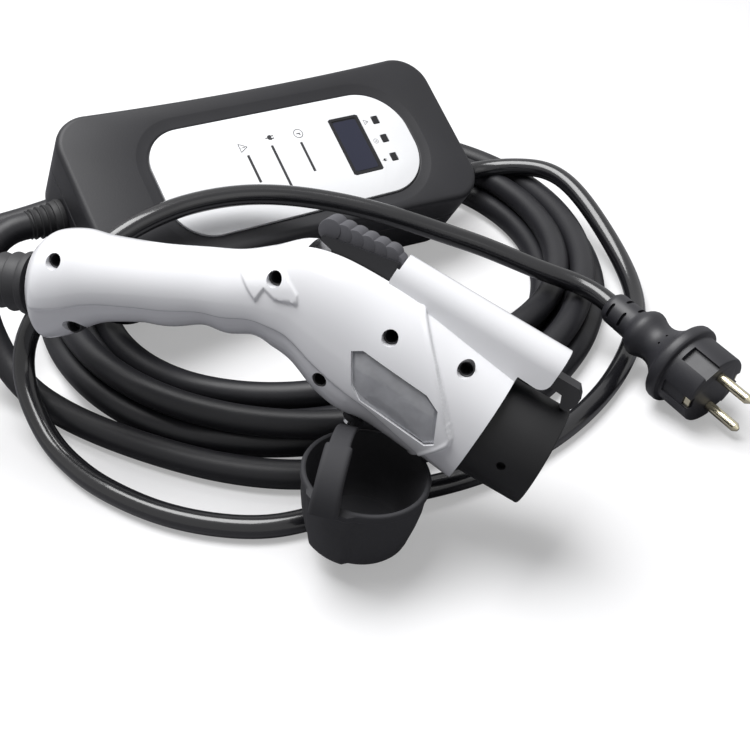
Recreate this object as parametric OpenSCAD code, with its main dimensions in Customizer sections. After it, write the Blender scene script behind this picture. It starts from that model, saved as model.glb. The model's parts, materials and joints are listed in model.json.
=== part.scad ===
// Portable charging lead for an electric car: a control box with a display,
// a gun-shaped connector with a thumb latch and a tethered dust cap, a mains
// plug, and the two cables as they lie on a table. Millimetres, +Z up.

/* [Control box] */
// Length of the box along its cables
box_l = 222; // [200:1:240]
// Width of the box
box_w = 95; // [88:0.5:105]
// Height of the box
box_h = 52.5; // [46:0.5:60]
// Radius of the corners seen from the front
box_corner = 19; // [12:1:24]
// How far the long sides bow in at their middle
box_waist = 2.2; // [0.5:0.1:4]
// Wall of both shells
box_wall = 2.8; // [2:0.1:3.6]
// Height of the cover above the joint line
cover_h = 21; // [16:1:26]
// Bevel round the front face
cover_bevel = 2.4; // [1:0.1:4]
// Thickness of the white front plate
plate_t = 1.6; // [1:0.1:2.4]
// Length of the white front plate
plate_l = 152; // [136:1:160]
// Width of the white front plate
plate_w = 63; // [56:0.5:68]
// Gap round the front plate
plate_gap = 0.9; // [0.4:0.1:1.6]
// Long side of the display window
lcd_h = 36; // [28:1:40]
// Short side of the display window
lcd_w = 19; // [15:0.2:22]
// Distance between the three lamp windows
lamp_step = 12.2; // [9:0.1:14]

/* [Connector] */
// Outer radius of the nose that enters the car's inlet
nose_r = 21.9; // [21.5:0.1:22.2]
// Inner radius of the nose
nose_bore_r = 18.9; // [18:0.1:19.6]
// Free length of the nose in front of the handle
nose_free = 27.5; // [22:0.5:32]
// Wall of the two handle shells
shell_wall = 2.5; // [2:0.1:3.2]
// Width of the hood over the latch
hood_w = 19; // [16:0.5:22]
// Wall of the hood
hood_wall = 2.2; // [1.6:0.1:2.8]
// Depth of the finger grooves
groove_depth = 1.1; // [0:0.1:1.6]
// Radius of the latch pin
latch_pin_r = 1.5; // [1.2:0.1:1.8]
// Radius of the counterbores over the screws
screw_well_r = 3.7; // [3.2:0.1:4.2]
// Radius of the cable boot where it leaves the handle
boot_r = 13.8; // [11:0.1:15]
// Length of the cable boot outside the handle
boot_l = 60; // [45:1:75]

/* [Dust cap] */
// Outer radius of the cap at its lip
cap_r = 26.8; // [25.6:0.1:28]
// Outer radius at the closed end
cap_base_r = 22; // [20:0.1:23]
// Depth of the cap outside
cap_l = 31.5; // [31.5:0.5:36]
// Wall of the cap
cap_wall = 2.3; // [1.6:0.1:3]

/* [Plug] */
// Radius of the plug's flange
flange_r = 21.3; // [20:0.1:22]
// Radius of the plug's front body
plug_r = 18.5; // [17.6:0.1:18.9]
// Radius of a plug pin
pin_r = 2.4; // [2.35:0.01:2.45]
// Free length of a plug pin
pin_l = 19; // [18:0.1:19.5]
// Distance between the two pins
pin_step = 19; // [18.6:0.1:19.4]

/* [Cables] */
// Diameter of the thick charging cable
ev_d = 13.6; // [12:0.1:15]
// Diameter of the mains lead
lead_d = 10.3; // [9:0.1:11]
// Radius to the middle of the coil's inmost turn
coil_in_r = 123; // [112:0.1:130]
// Turns side by side on the floor
coil_turns = 3; // [2:1:4]

/* [Hidden] */
$fn = 40;
eps = 0.01;
gap = 0.2;

// Where the pieces lie on the table. The box leans back on the coil.
box_at = [-11.9, 69.9, 75.88];
box_turn = [33, 4.5, 33.5];
gun_at = [105.1, -128, 46.8];
gun_turn = [-23, 24, -24.6];
cap_at = [33.6, -132.6, 43];
cap_turn = [-2, 8, 0];
plug_at = [185.7, -36.9, 21.5];
plug_turn = [0, 98, -54];
coil_at = [8, 66, 0];
// Middle of the footprint of the rigid pieces: the origin goes there.
footprint_mid = [-24.46, 9.28, 0];

module on_table() { translate(-footprint_mid) children(); }
module at_box() { on_table() translate(box_at) rotate(box_turn) children(); }
module at_gun() { on_table() translate(gun_at) rotate(gun_turn) children(); }
module at_cap() { on_table() translate(cap_at) rotate(cap_turn) children(); }
module at_plug() { on_table() translate(plug_at) rotate(plug_turn) children(); }

// Small helpers for outlines and swept tubes.
function arc(cx, cy, r, a0, a1, n) =
    [for (i = [0:n]) [cx + r * cos(a0 + (a1 - a0) * i / n), cy + r * sin(a0 + (a1 - a0) * i / n)]];

function round_rect(l, w, r_left, r_right) = concat(
    arc(l / 2 - r_right, w / 2 - r_right, r_right, 0, 90, 8),
    arc(-l / 2 + r_left, w / 2 - r_left, r_left, 90, 180, 8),
    arc(-l / 2 + r_left, -w / 2 + r_left, r_left, 180, 270, 8),
    arc(l / 2 - r_right, -w / 2 + r_right, r_right, 270, 360, 8));

function unit(v) = v / norm(v);
function at_power(t, n) = sign(t) * pow(abs(t), 2 / n);

// One point of a smooth curve through the points p, at the real index u.
function spline(p, u) =
    let (i = min(floor(u), len(p) - 2), t = u - i,
         a = p[max(i - 1, 0)], b = p[i], c = p[i + 1], d = p[min(i + 2, len(p) - 1)])
    0.5 * (2 * b + (c - a) * t + (2 * a - 5 * b + 4 * c - d) * t * t
        + (3 * b - 3 * c + d - a) * t * t * t);

// Rings of n points stacked into a closed skin.
function skin_faces(rings, n) = concat(
    [for (i = [0:rings - 2], j = [0:n - 1], k = [0, 1])
        let (a = i * n + j, b = i * n + (j + 1) % n, c = a + n, d = b + n)
        k == 0 ? [a, c, b] : [b, c, d]],
    [[for (j = [0:n - 1]) j]],
    [[for (j = [0:n - 1]) (rings - 1) * n + n - 1 - j]]);

// A round tube of radius r along the points p, with its ends square to them.
function tube_ring(c, dir, r, n) =
    let (side = unit(cross(dir, abs(dir[2]) > 0.9 ? [0, 1, 0] : [0, 0, 1])), up = cross(side, dir))
    [for (j = [0:n - 1]) c + r * (cos(360 * j / n) * side + sin(360 * j / n) * up)];

module tube(p, r, n) {
    m = len(p);
    rings = [for (i = [0:m - 1])
        tube_ring(p[i], unit(p[min(i + 1, m - 1)] - p[max(i - 1, 0)]), r, n)];
    polyhedron([for (ring = rings, q = ring) q], skin_faces(m, n), 4);
}

// Control box

// Outline of the box: round corners and long sides that bow in a little.
side_run = box_l / 2 - box_corner;
function waist(x) = box_waist * (1 - pow(x / side_run, 2));
case_outline = concat(
    arc(side_run, box_w / 2 - box_corner, box_corner, 0, 90, 7),
    [for (i = [1:9]) let (x = side_run * (1 - i / 5)) [x, box_w / 2 - waist(x)]],
    arc(-side_run, box_w / 2 - box_corner, box_corner, 90, 180, 7),
    arc(-side_run, -box_w / 2 + box_corner, box_corner, 180, 270, 7),
    [for (i = [1:9]) let (x = side_run * (i / 5 - 1)) [x, -box_w / 2 + waist(x)]],
    arc(side_run, -box_w / 2 + box_corner, box_corner, 270, 360, 7));

module case_slab(inset, z0, z1) {
    translate([0, 0, z0]) linear_extrude(z1 - z0) offset(delta = -inset) polygon(case_outline);
}

plate_x = 6;
plate_y = -2.4;
plate_r_left = 21;
plate_r_right = 27;
lcd_x = 45.6;
lcd_y = -1.5;
lamp_x = 64.6;
lamp_size = [4.2, 5];
recess_d = plate_t + 0.4;
roof_z = -recess_d - 2.4;
gland_z = -34.2;
gland_r = 8.2;
gland_l = 18;
ev_gland_y = 12;
mains_gland_y = -18;
screw_x = box_l / 2 - 15;
screw_y = box_w / 2 - 15;
board_z = roof_z - 21;
board_t = 1.6;
post_x = 68;
post_y = 24;
lip_h = 3;
seal_t = 0.8;
floor_z = -box_h + box_wall;

module plate_shape(grow) {
    translate([plate_x, plate_y]) offset(delta = grow)
        polygon(round_rect(plate_l, plate_w, plate_r_left, plate_r_right));
}

module at_lamps() {
    for (i = [-1:1]) translate([lamp_x, lcd_y + i * lamp_step, 0]) children();
}

module box_block(size) {
    translate([-size[0] / 2, -size[1] / 2, 0]) cube(size);
}

module at_case_screws() {
    for (x = [-screw_x, screw_x], y = [-screw_y, screw_y]) translate([x, y, 0]) children();
}

module box_base() color([0.2, 0.2, 0.21]) at_box() difference() {
    union() {
        difference() {
            union() {
                case_slab(0, -box_h + 2, -cover_h);
                case_slab(2, -box_h, -box_h + 2);
            }
            case_slab(box_wall, floor_z, -cover_h + 1);
        }
        at_case_screws() translate([0, 0, -box_h]) cylinder(r = 6, h = box_h - cover_h);
        for (x = [-post_x, post_x], y = [-post_y, post_y])
            translate([x, y, floor_z - eps]) cylinder(r = 3, h = board_z - board_t - floor_z + eps);
    }
    at_case_screws() {
        translate([0, 0, -box_h - 1]) cylinder(r = 3.6, h = 9);
        translate([0, 0, -box_h]) cylinder(r = 1.8, h = box_h);
    }
    translate([box_l / 2 - box_wall - 1, mains_gland_y, gland_z]) rotate([0, 90, 0])
        cylinder(r = gland_r + gap, h = box_wall + 2);
    translate([-box_l / 2 - 1, ev_gland_y, gland_z]) rotate([0, 90, 0])
        cylinder(r = gland_r + gap, h = box_wall + 2);
}

module box_cover() color([0.2, 0.2, 0.21]) at_box() difference() {
    union() {
        difference() {
            union() {
                case_slab(0, -cover_h + seal_t, -cover_bevel);
                case_slab(cover_bevel * 0.3, -cover_bevel, -cover_bevel * 0.45);
                case_slab(cover_bevel, -cover_bevel * 0.45, 0);
            }
            case_slab(box_wall, -cover_h - 1, roof_z);
        }
        // Lip that drops inside the base and keeps the seal in line.
        difference() {
            case_slab(box_wall + gap, -cover_h - lip_h, -cover_h + seal_t + 1);
            case_slab(box_wall + gap + 1.6, -cover_h - lip_h - 1, -cover_h + seal_t + 2);
            at_case_screws() translate([0, 0, -cover_h - lip_h - 1])
                cylinder(r = 6.4, h = lip_h + 1);
        }
        at_case_screws() translate([0, 0, -cover_h + seal_t])
            cylinder(r = 5, h = cover_h - seal_t + roof_z + eps);
    }
    translate([0, 0, -recess_d]) linear_extrude(recess_d + 1) plate_shape(plate_gap);
    translate([lcd_x, lcd_y, roof_z - 1]) box_block([lcd_w - 2, lcd_h - 2, 8]);
    at_lamps() translate([0, 0, roof_z - 1]) box_block([lamp_size[0] + gap, lamp_size[1] + gap, 8]);
    at_case_screws() translate([0, 0, -cover_h - 1]) cylinder(r = 1.5, h = 14);
}

module box_seal() color([0.1, 0.1, 0.1]) at_box() difference() {
    case_slab(0.6, -cover_h, -cover_h + seal_t);
    case_slab(box_wall + gap - 0.1, -cover_h - 1, -cover_h + seal_t + 1);
}

module faceplate() color([0.96, 0.96, 0.97]) at_box() difference() {
    translate([0, 0, -recess_d]) linear_extrude(plate_t) plate_shape(0);
    translate([lcd_x, lcd_y, -5]) box_block([lcd_w + gap, lcd_h + gap, 10]);
    at_lamps() translate([0, 0, -5]) box_block([lamp_size[0] + gap, lamp_size[1] + gap, 10]);
}

module lcd_window() color([0.1, 0.11, 0.2]) at_box()
    translate([lcd_x, lcd_y, -recess_d]) box_block([lcd_w, lcd_h, plate_t - 0.1]);

module lcd_module() color([0.15, 0.3, 0.2]) at_box()
    translate([lcd_x, lcd_y, roof_z - 6]) union() {
        box_block([lcd_w + 6, lcd_h + 8, 1.6]);
        box_block([lcd_w + 1, lcd_h + 2, 6]);
    }

module lamp_windows() color([0.12, 0.12, 0.13]) at_box() at_lamps()
    translate([0, 0, roof_z]) box_block([lamp_size[0], lamp_size[1], -roof_z - 0.5]);

module circuit_board() color([0.1, 0.35, 0.2]) at_box()
    translate([0, 0, board_z - board_t]) difference() {
        box_block([2 * post_x + 12, 2 * post_y + 12, board_t]);
        for (x = [-post_x, post_x], y = [-post_y, post_y])
            translate([x, y, -1]) cylinder(r = 1.4, h = 4);
    }

module relays() color([0.16, 0.2, 0.3]) at_box()
    for (y = [-13, 13]) translate([-40, y, board_z]) box_block([30, 18, 17]);

module leakage_coil() color([0.3, 0.3, 0.32]) at_box() translate([-5, 0, board_z]) difference() {
    cylinder(r = 12, h = 10);
    translate([0, 0, -1]) cylinder(r = 6, h = 12);
}

module box_screws() color([0.75, 0.75, 0.76]) at_box() at_case_screws() {
    translate([0, 0, -box_h + 5]) cylinder(r = 3, h = 3);
    translate([0, 0, -box_h + 8 - eps]) cylinder(r = 1.4, h = box_h - cover_h + 3);
}

// A moulded strain relief: a neck in the wall, a shoulder and a ribbed taper.
module gland(cable_r) {
    rotate_extrude() polygon(concat(
        [[0, -box_wall - 3], [gland_r + 1.4, -box_wall - 3], [gland_r + 1.4, -box_wall - gap],
         [gland_r, -box_wall - gap], [gland_r, gap], [gland_r + 1.6, gap], [gland_r + 1.6, 3]],
        [for (i = [0:3]) each let (z = 3.4 + i * 3.4, r = gland_r + 1 - i * 0.5)
            [[r, z], [r, z + 2], [r - 1.1, z + 2.3], [r - 1.1, z + 3.2]]],
        [[cable_r + 0.6, gland_l], [0, gland_l]]));
}

module mains_gland() color([0.12, 0.12, 0.12]) at_box()
    translate([box_l / 2, mains_gland_y, gland_z]) rotate([0, 90, 0]) gland(lead_d / 2);

module ev_gland() color([0.12, 0.12, 0.12]) at_box()
    translate([-box_l / 2, ev_gland_y, gland_z]) rotate([0, -90, 0]) gland(ev_d / 2 - 0.6);

// Connector. Its x axis is the nose, with 0 at the mouth, and z points to the latch.

// Sections of the handle from its rear end to the nose. Each row gives the top
// point and the bottom point of the section, x then z, and its half width.
handle_rows = [
    [-225, -45, -208, -79, 17], [-221.5, -37.5, -202.5, -82.5, 21.3], [-212, -31, -196, -76, 21.5],
    [-200, -25, -185, -60.5, 19.5], [-180, -14.5, -168, -48.5, 17.8], [-162, -3.5, -150, -38, 17.2],
    [-149, 4, -138, -31.5, 17.6], [-138, 13, -124, -26, 18.6], [-127, 22.4, -108, -25, 20],
    [-112, 27, -92, -30, 22], [-92, 29, -80, -31.2, 23.5], [-72, 29, -68, -28.6, 25],
    [-50, 27, -50, -28.6, 26], [-nose_free, 25, -nose_free, -29.6, 26.8]];
groove_from = 4;
groove_to = 7.5;
roundness = 2.35;

function ripple(u) = u > groove_from && u < groove_to
    ? groove_depth * sin(360 * (u - groove_from) * 4 / (groove_to - groove_from) / 2) : 0;

function handle_ring(u, inset, n) =
    let (row = spline(handle_rows, u), top = [row[0], 0, row[1]], low = [row[2], 0, row[3]],
         mid = (top + low) / 2, half = (top - low) / 2, up = unit(half), h = norm(half) - inset)
    [for (j = [0:n - 1]) let (a = 360 * j / n, s = at_power(sin(a), roundness),
            c = at_power(cos(a), roundness), dip = s < 0 ? ripple(u) * s : 0)
        mid + up * (h * s + dip) + [0, (row[4] - inset) * c, 0]];

module handle_loft(inset, u0, u1, rings, n) {
    polyhedron([for (i = [0:rings - 1], q = handle_ring(u0 + (u1 - u0) * i / (rings - 1), inset, n)) q],
        skin_faces(rings, n), 6);
}

gun_screws = [[-211, -41.5], [-193.5, -64.8], [-128, 6], [-92, -19], [-77, 14], [-46, 19]];
latch_x = -62;
latch_z = 31.3;
hood_rear = -90;
hood_front = -15;
hood_rise = 2.8;
channel_half = 5.8;
channel_z = 24;
trough = [-124.5, -89, 13];
trough_half = 8.4;
web_t = 2.4;
boot_at = [-219, 0, -63.2];
boot_tilt = 28;
boot_neck_r = 7.8;
boot_seat = 1.6;
boot_barrel_r = 10;
cap_hinge = [-73, 0, -32.2];
cap_pin_r = 1.6;
eye_r = 4.8;
eye_t = 3;
collar_root = nose_free + 8.5;
nose_pitch = 4;

module along_y(p, y) { translate([p[0], y, p[1]]) rotate([-90, 0, 0]) children(); }

module hood_section(inset) {
    half = hood_w / 2 - inset;
    translate([0, -hood_w / 2]) circle(r = half);
    translate([-half, -26]) square([2 * half, 26 - hood_w / 2]);
}

module hood_run(inset) {
    translate([hood_rear, 0, 39.6]) rotate([0, -hood_rise, 0]) translate([-1, 0, 0])
        rotate([90, 0, 90]) linear_extrude(hood_front - hood_rear + 6) hood_section(inset);
}

// Side view of the hood: its mouth is rounded and overhangs the nose.
module hood_side() {
    rotate([90, 0, 0]) translate([0, 0, -20]) linear_extrude(40) polygon(concat(
        [[hood_rear, 18], [-nose_free, 18], [-nose_free, 25.2]],
        arc(hood_front - 5, 30.2, 5, -90, 0, 6),
        arc(hood_front - 3, 39.6, 3, 0, 80, 4),
        [[hood_front - 6, 50], [hood_rear + 3, 50]]));
}

module hood() {
    difference() {
        intersection() { hood_run(0); hood_side(); }
        hood_run(hood_wall);
    }
}

module boot_axis() { translate(boot_at) rotate([0, -90 - boot_tilt, 0]) children(); }

module handle_body() {
    difference() {
        union() {
            difference() {
                union() {
                    handle_loft(0, 0, 13, 40, 28);
                    intersection() { hood_run(0); hood_side(); }
                }
                handle_loft(shell_wall, 1.95, 12.92, 24, 20);
            }
            // Floors under the latch channel and the button, and the screw posts.
            intersection() {
                handle_loft(shell_wall / 2, 1, 12.95, 24, 20);
                union() {
                    translate([trough[0] - web_t, -30, trough[2] - web_t])
                        cube([trough[1] - trough[0] + 2 * web_t, 60, web_t]);
                    translate([trough[0] - web_t, -30, trough[2] - web_t]) cube([web_t, 60, 20]);
                    translate([trough[1], -30, trough[2] - web_t])
                        cube([web_t, 60, channel_z - trough[2] + web_t]);
                    translate([trough[1], -channel_half - 3, channel_z - web_t])
                        cube([-nose_free - trough[1], 2 * channel_half + 6, web_t]);
                    for (p = gun_screws) along_y(p, -30) cylinder(r = screw_well_r + 1.3, h = 60);
                }
            }
            // Boss that grips the stud of the dust cap's tether.
            translate([cap_hinge[0], 0, cap_hinge[2] + eye_t / 2 + 1]) cylinder(r = 5, h = 9);
        }
        hood_run(hood_wall);
        translate([trough[1] - 1, -channel_half, channel_z]) cube([70, 2 * channel_half, 12]);
        translate([trough[0], -trough_half, trough[2]])
            cube([trough[1] - trough[0] + eps, 2 * trough_half, 40]);
        at_nose() about_nose(-nose_free - 16) cylinder(r = nose_r + gap, h = 30);
        boot_axis() translate([0, 0, -40]) cylinder(r = boot_barrel_r + gap, h = 60);
        boot_axis() translate([0, 0, boot_seat - gap]) cylinder(r = boot_r + gap, h = 40);
        translate(cap_hinge) cylinder(r = cap_pin_r + 0.05, h = 30);
        translate([cap_hinge[0], 0, cap_hinge[2] + 7.5]) cylinder(r = 3.1, h = 1.7);
        along_y([latch_x, latch_z], -8.4) cylinder(r = latch_pin_r, h = 16.8);
        for (s = [-1, 1]) translate([0, s * window_y, 0]) window_prism(0, s * 20);
    }
}

window_y = 21.8;
window_t = 1.4;
window_points = [[-87, 1], [-83, 4], [-53, 4], [-46, 1], [-40, -12], [-43, -15], [-74, -15], [-80, -11]];

module window_prism(inset, depth) {
    rotate([90, 0, 0]) translate([0, 0, depth > 0 ? -depth : 0]) linear_extrude(abs(depth))
        offset(delta = -inset) polygon(window_points);
}

module handle_near() color([0.94, 0.94, 0.95]) at_gun() difference() {
    intersection() {
        handle_body();
        translate([-260, -60, -120]) cube([280, 60, 200]);
    }
    for (p = gun_screws) {
        along_y(p, -40) cylinder(r = screw_well_r, h = 36);
        along_y(p, -10) cylinder(r = 1.7, h = 11);
    }
}

module handle_far() color([0.94, 0.94, 0.95]) at_gun() difference() {
    intersection() {
        handle_body();
        translate([-260, 0, -120]) cube([280, 60, 200]);
    }
    for (p = gun_screws) along_y(p, -1) cylinder(r = 1.5, h = 12);
}

module handle_screws() color([0.3, 0.3, 0.31]) at_gun() for (p = gun_screws) {
    along_y(p, -6.4) cylinder(r = 2.9, h = 2.4);
    along_y(p, -4 - eps) cylinder(r = 1.45, h = 14);
}

module window_near() color([0.62, 0.62, 0.65]) at_gun()
    translate([0, -window_y, 0]) window_prism(gap, -window_t);

module window_far() color([0.62, 0.62, 0.65]) at_gun()
    translate([0, window_y, 0]) window_prism(gap, window_t);

// The nose points a little above the handle's own axis.
module at_nose() { rotate([0, -nose_pitch, 0]) children(); }
module about_nose(x) { translate([x, 0, 0]) rotate([0, 90, 0]) children(); }

module nose_collar() color([0.12, 0.12, 0.13]) at_gun() at_nose() difference() {
    union() {
        about_nose(-collar_root) cylinder(r = nose_r, h = collar_root);
        about_nose(-collar_root) cylinder(r = nose_r + 0.9, h = 3);
    }
    about_nose(-collar_root - 1) cylinder(r = nose_bore_r, h = collar_root + 2);
    translate([-10, 0, 0]) rotate([108, 0, 0]) cylinder(r = 2, h = 30);
}

// Contacts as [y, z] seen from behind, with the radius of each bore in the block.
power_xy = [[-7.9, 7], [7.9, 7]];
earth_xy = [[0, -10.3]];
signal_xy = [[-10.5, -5.6], [10.5, -5.6]];
power_r = 3.5;
signal_r = 2.3;
block_front = -9;
block_rear = -collar_root - 4;

module at_contacts(list) { for (c = list) translate([0, c[0], c[1]]) children(); }

module contact_block() color([0.1, 0.1, 0.1]) at_gun() at_nose() difference() {
    union() {
        about_nose(block_rear) cylinder(r = nose_bore_r - gap, h = block_front - block_rear);
        about_nose(block_rear) cylinder(r = nose_bore_r + 2, h = 2);
    }
    at_contacts(concat(power_xy, earth_xy)) about_nose(block_rear - 1)
        cylinder(r = power_r + gap / 2, h = 40);
    at_contacts(signal_xy) about_nose(block_rear - 1) cylinder(r = signal_r + gap / 2, h = 40);
}

module nose_seal() color([0.25, 0.12, 0.1]) at_gun() at_nose() difference() {
    about_nose(-collar_root - 2) cylinder(r = nose_bore_r + 2.4, h = 2);
    about_nose(-collar_root - 3) cylinder(r = nose_bore_r, h = 4);
}

module socket(r, hole) {
    difference() {
        about_nose(block_rear - 3) cylinder(r = r, h = block_front - 2 - block_rear + 3);
        about_nose(block_front - 16) cylinder(r = hole, h = 20);
        about_nose(block_rear - 4) cylinder(r = hole - 0.3, h = 6);
    }
}

module power_sockets() color([0.8, 0.7, 0.4]) at_gun() at_nose() at_contacts(power_xy) socket(power_r, 1.85);
module earth_socket() color([0.8, 0.7, 0.4]) at_gun() at_nose() at_contacts(earth_xy) socket(power_r, 1.85);
module signal_sockets() color([0.8, 0.7, 0.4]) at_gun() at_nose() at_contacts(signal_xy) socket(signal_r, 1.2);

// The latch lever rocks on its pin: the hook lifts when the button is pressed.
lever_front = [[-2, 26], [-2, 30.5], [-4.5, 33.2], [-16, 32.6], [-40, 33.4], [-56, 34.6], [-68, 34.6],
    [-91, 34.2], [-91, 27.6], [-68, 27], [-56, 27], [-50, 28.4], [-20, 27.4], [-9, 27.2],
    [-7, nose_r + 0.7], [-4, nose_r + 0.7]];
lever_rear = [[-90, 36.2], [-91, 36.4], [-122, 28.9], [-122, 26.6], [-116, 25.6], [-114, 20], [-90.5, 25.2]];
spring_x = -104;
spring_pocket_r = 3.3;
spring_top = 27.5;
button_from = [-123.6, 31];
button_step = 5.4;
button_slope = 13.4;
button_r = 5.2;
button_half = 7.9;

module side_plate(points, half) {
    rotate([90, 0, 0]) translate([0, 0, -half]) linear_extrude(2 * half) polygon(points);
}

module latch_lever() color([0.1, 0.1, 0.11]) at_gun() difference() {
    union() {
        side_plate(lever_front, 4.5);
        intersection() {
            side_plate(lever_rear, 7.6);
            translate([-130, -10, 0]) cube([130 + hood_rear - 0.4, 20, 60]);
        }
    }
    along_y([latch_x, latch_z], -10) cylinder(r = latch_pin_r + 0.1, h = 20);
    translate([spring_x, 0, 10]) cylinder(r = spring_pocket_r, h = spring_top - 10);
}

module thumb_button() color([0.25, 0.25, 0.26]) at_gun() difference() {
    for (i = [0:6]) {
        x = button_from[0] + i * button_step * cos(button_slope);
        z = button_from[1] + i * button_step * sin(button_slope);
        if (x + button_r < hood_rear - 0.3)
            along_y([x, z], -button_half + i * 0.35) cylinder(r = button_r, h = 2 * button_half - i * 0.7);
    }
    translate([-122, 0, 28.9]) rotate([0, -13.6, 0]) translate([-20, -20, -20]) cube([80, 40, 20]);
}

module latch_pin() color([0.7, 0.7, 0.72]) at_gun()
    along_y([latch_x, latch_z], -8.2) cylinder(r = latch_pin_r - 0.05, h = 16.4);

module latch_spring() color([0.7, 0.7, 0.72]) at_gun() {
    turns = 5;
    r = 2.4;
    wire = 0.4;
    low = trough[2] + wire;
    high = spring_top - wire;
    steps = turns * 10;
    tube([for (i = [0:steps]) [spring_x + r * cos(36 * i), r * sin(36 * i),
        low + (high - low) * i / steps]], wire, 6);
}

module latch_switch() color([0.15, 0.15, 0.15]) at_gun() translate([-119, 0, trough[2]]) {
    box_block([6.4, 11, 6]);
    translate([0, 0, 6 - eps]) cylinder(r = 1, h = 1.6);
}

module cord_clamp() color([0.15, 0.15, 0.16]) at_gun() boot_axis() difference() {
    translate([-8.2, -9, -38]) cube([16.4, 18, 7]);
    translate([0, 0, -50]) cylinder(r = boot_neck_r + 0.1, h = 22);
}

module cable_boot() color([0.11, 0.11, 0.12]) at_gun() boot_axis() {
    rib = 6.4;
    ribs = 7;
    rotate_extrude() polygon(concat(
        [[0, -46], [boot_neck_r, -46], [boot_neck_r, -15], [boot_barrel_r, -15], [boot_barrel_r, boot_seat], [boot_r, boot_seat]],
        [for (i = [0:ribs - 1]) each let (z = 5 + i * rib, r = boot_r - 0.75 * i)
            [[r, z], [r - 1.6, z + 0.8], [r - 1.6, z + 2.4], [r - 0.2, z + 3.2]]],
        [[ev_d / 2 + 1.4, boot_l], [0, boot_l]]));
}

// Dust cap: a cup with its mouth up, and the strap that ties it to the handle.
strap_w = 9.5;
strap_t = 3.2;
strap_x = -10.5;
strap_skew = -11;
strap_path = [[-24.6, -12], [-25.4, 2], [-23.5, 9], [-18.5, 14.2], [-11, 16.6], [-2, 15.6],
    [7, 12], [14.5, 8], [20.5, 4.2]];

function band(p, t) =
    let (m = len(p),
         side = [for (i = [0:m - 1]) let (d = unit(p[min(i + 1, m - 1)] - p[max(i - 1, 0)])) [-d[1], d[0]]])
    concat([for (i = [0:m - 1]) p[i] + side[i] * t / 2],
        [for (i = [m - 1:-1:0]) p[i] - side[i] * t / 2]);

module strap_bar(w) { translate([-w / 2, 0, 0]) rotate([90, 0, 90]) linear_extrude(w) children(); }

module dust_cap() color([0.2, 0.2, 0.21]) {
    at_cap() {
        rotate_extrude($fn = 64) polygon([
            [0, -cap_l], [cap_base_r - 2.4, -cap_l], [cap_base_r - 0.6, -cap_l + 0.9],
            [cap_base_r + 0.4, -cap_l + 3.4], [cap_r - 1.2, -14], [cap_r - 0.9, -4.2], [cap_r, -3], [cap_r, -0.8], [cap_r - 0.8, 0],
            [cap_r - cap_wall, 0], [cap_base_r - cap_wall + 1.2, -cap_l + 8],
            [cap_base_r - cap_wall, -cap_l + cap_wall], [0, -cap_l + cap_wall]]);
        translate([strap_x, 0, 0]) rotate([0, 0, strap_skew]) strap_bar(strap_w) polygon(band(strap_path, strap_t));
        difference() {
            translate([strap_x, 0, 0]) rotate([0, 0, strap_skew]) strap_bar(strap_w + 2.5)
                polygon([[-25.6, 0], [-27.6, -3], [-24, -cap_l + 1], [-10, -cap_l + 1], [-10, 0]]);
            cylinder(r1 = cap_base_r - cap_wall, r2 = cap_r - cap_wall, h = 2 * cap_l, center = true);
            translate([0, 0, -cap_l]) cylinder(r1 = cap_base_r - 1.2, r2 = cap_r - 1.2, h = cap_l + eps);
        }
    }
    hull() {
        at_cap() translate([strap_x, 0, 0]) rotate([0, 0, strap_skew]) translate([0, 19.5, 4.8]) sphere(r = 1.5, $fn = 16);
        at_gun() translate(cap_hinge + [1.5, -3.6, -0.1]) sphere(r = 1.4, $fn = 16);
    }
    at_gun() translate(cap_hinge) difference() {
        cylinder(r = eye_r, h = eye_t, center = true);
        cylinder(r = cap_pin_r + 0.2, h = 20, center = true);
    }
}

module cap_pin() color([0.7, 0.7, 0.72]) at_gun() translate(cap_hinge) {
    translate([0, 0, -eye_t / 2 - 0.3 - 1.4]) cylinder(r = 3.6, h = 1.4);
    translate([0, 0, -eye_t / 2 - 0.31]) cylinder(r = cap_pin_r, h = eye_t / 2 + 9.3);
    translate([0, 0, 7.6]) cylinder(r = 3, h = 1.4);
}

// Plug: its z axis points out along the pins, with 0 at the flange.
plug_face = 20;
tail_l = 50;
shank_r = 1.8;
shank_l = 12.3;

module plug_body() color([0.17, 0.17, 0.18]) at_plug() difference() {
    union() {
        rotate_extrude() polygon(concat(
            [[0, -tail_l], [lead_d / 2 + 1.6, -tail_l], [lead_d / 2 + 3.2, -tail_l + 3],
             [lead_d / 2 + 3.4, -30.5], [12.4, -28.4], [13.4, -25.5], [12.6, -22], [10.6, -18],
             [10.8, -14]],
            arc(19.5, -13.6, 8.6, 180, 118, 4),
            [[flange_r - 1.5, -4.2], [flange_r, -2.8], [flange_r, 0.6], [flange_r - 1, 1.6],
             [plug_r, 1.8], [plug_r, plug_face - 1], [plug_r - 1, plug_face], [0, plug_face]]));
    }
    // Guide grooves at the sides and seats for the earth clips.
    for (s = [-1, 1]) {
        translate([-3, s > 0 ? plug_r - 3 : -plug_r - 1, 3.6]) cube([6, 4, 40]);
        translate([s > 0 ? plug_r - 3.2 : -plug_r - 1, -4, 4.6]) cube([4.2, 8, 40]);
    }
    // Slots of the strain relief.
    for (i = [0:3], s = [-1, 1]) translate([s > 0 ? 3.4 : -16, -7 + 14 * (i % 2) - 7, -tail_l + 6 + 4 * i])
        cube([12.6, 14, 1.7]);
    for (x = [-pin_step / 2, pin_step / 2]) translate([x, 0, plug_face - 12])
        cylinder(r = shank_r, h = 14);
}

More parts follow.
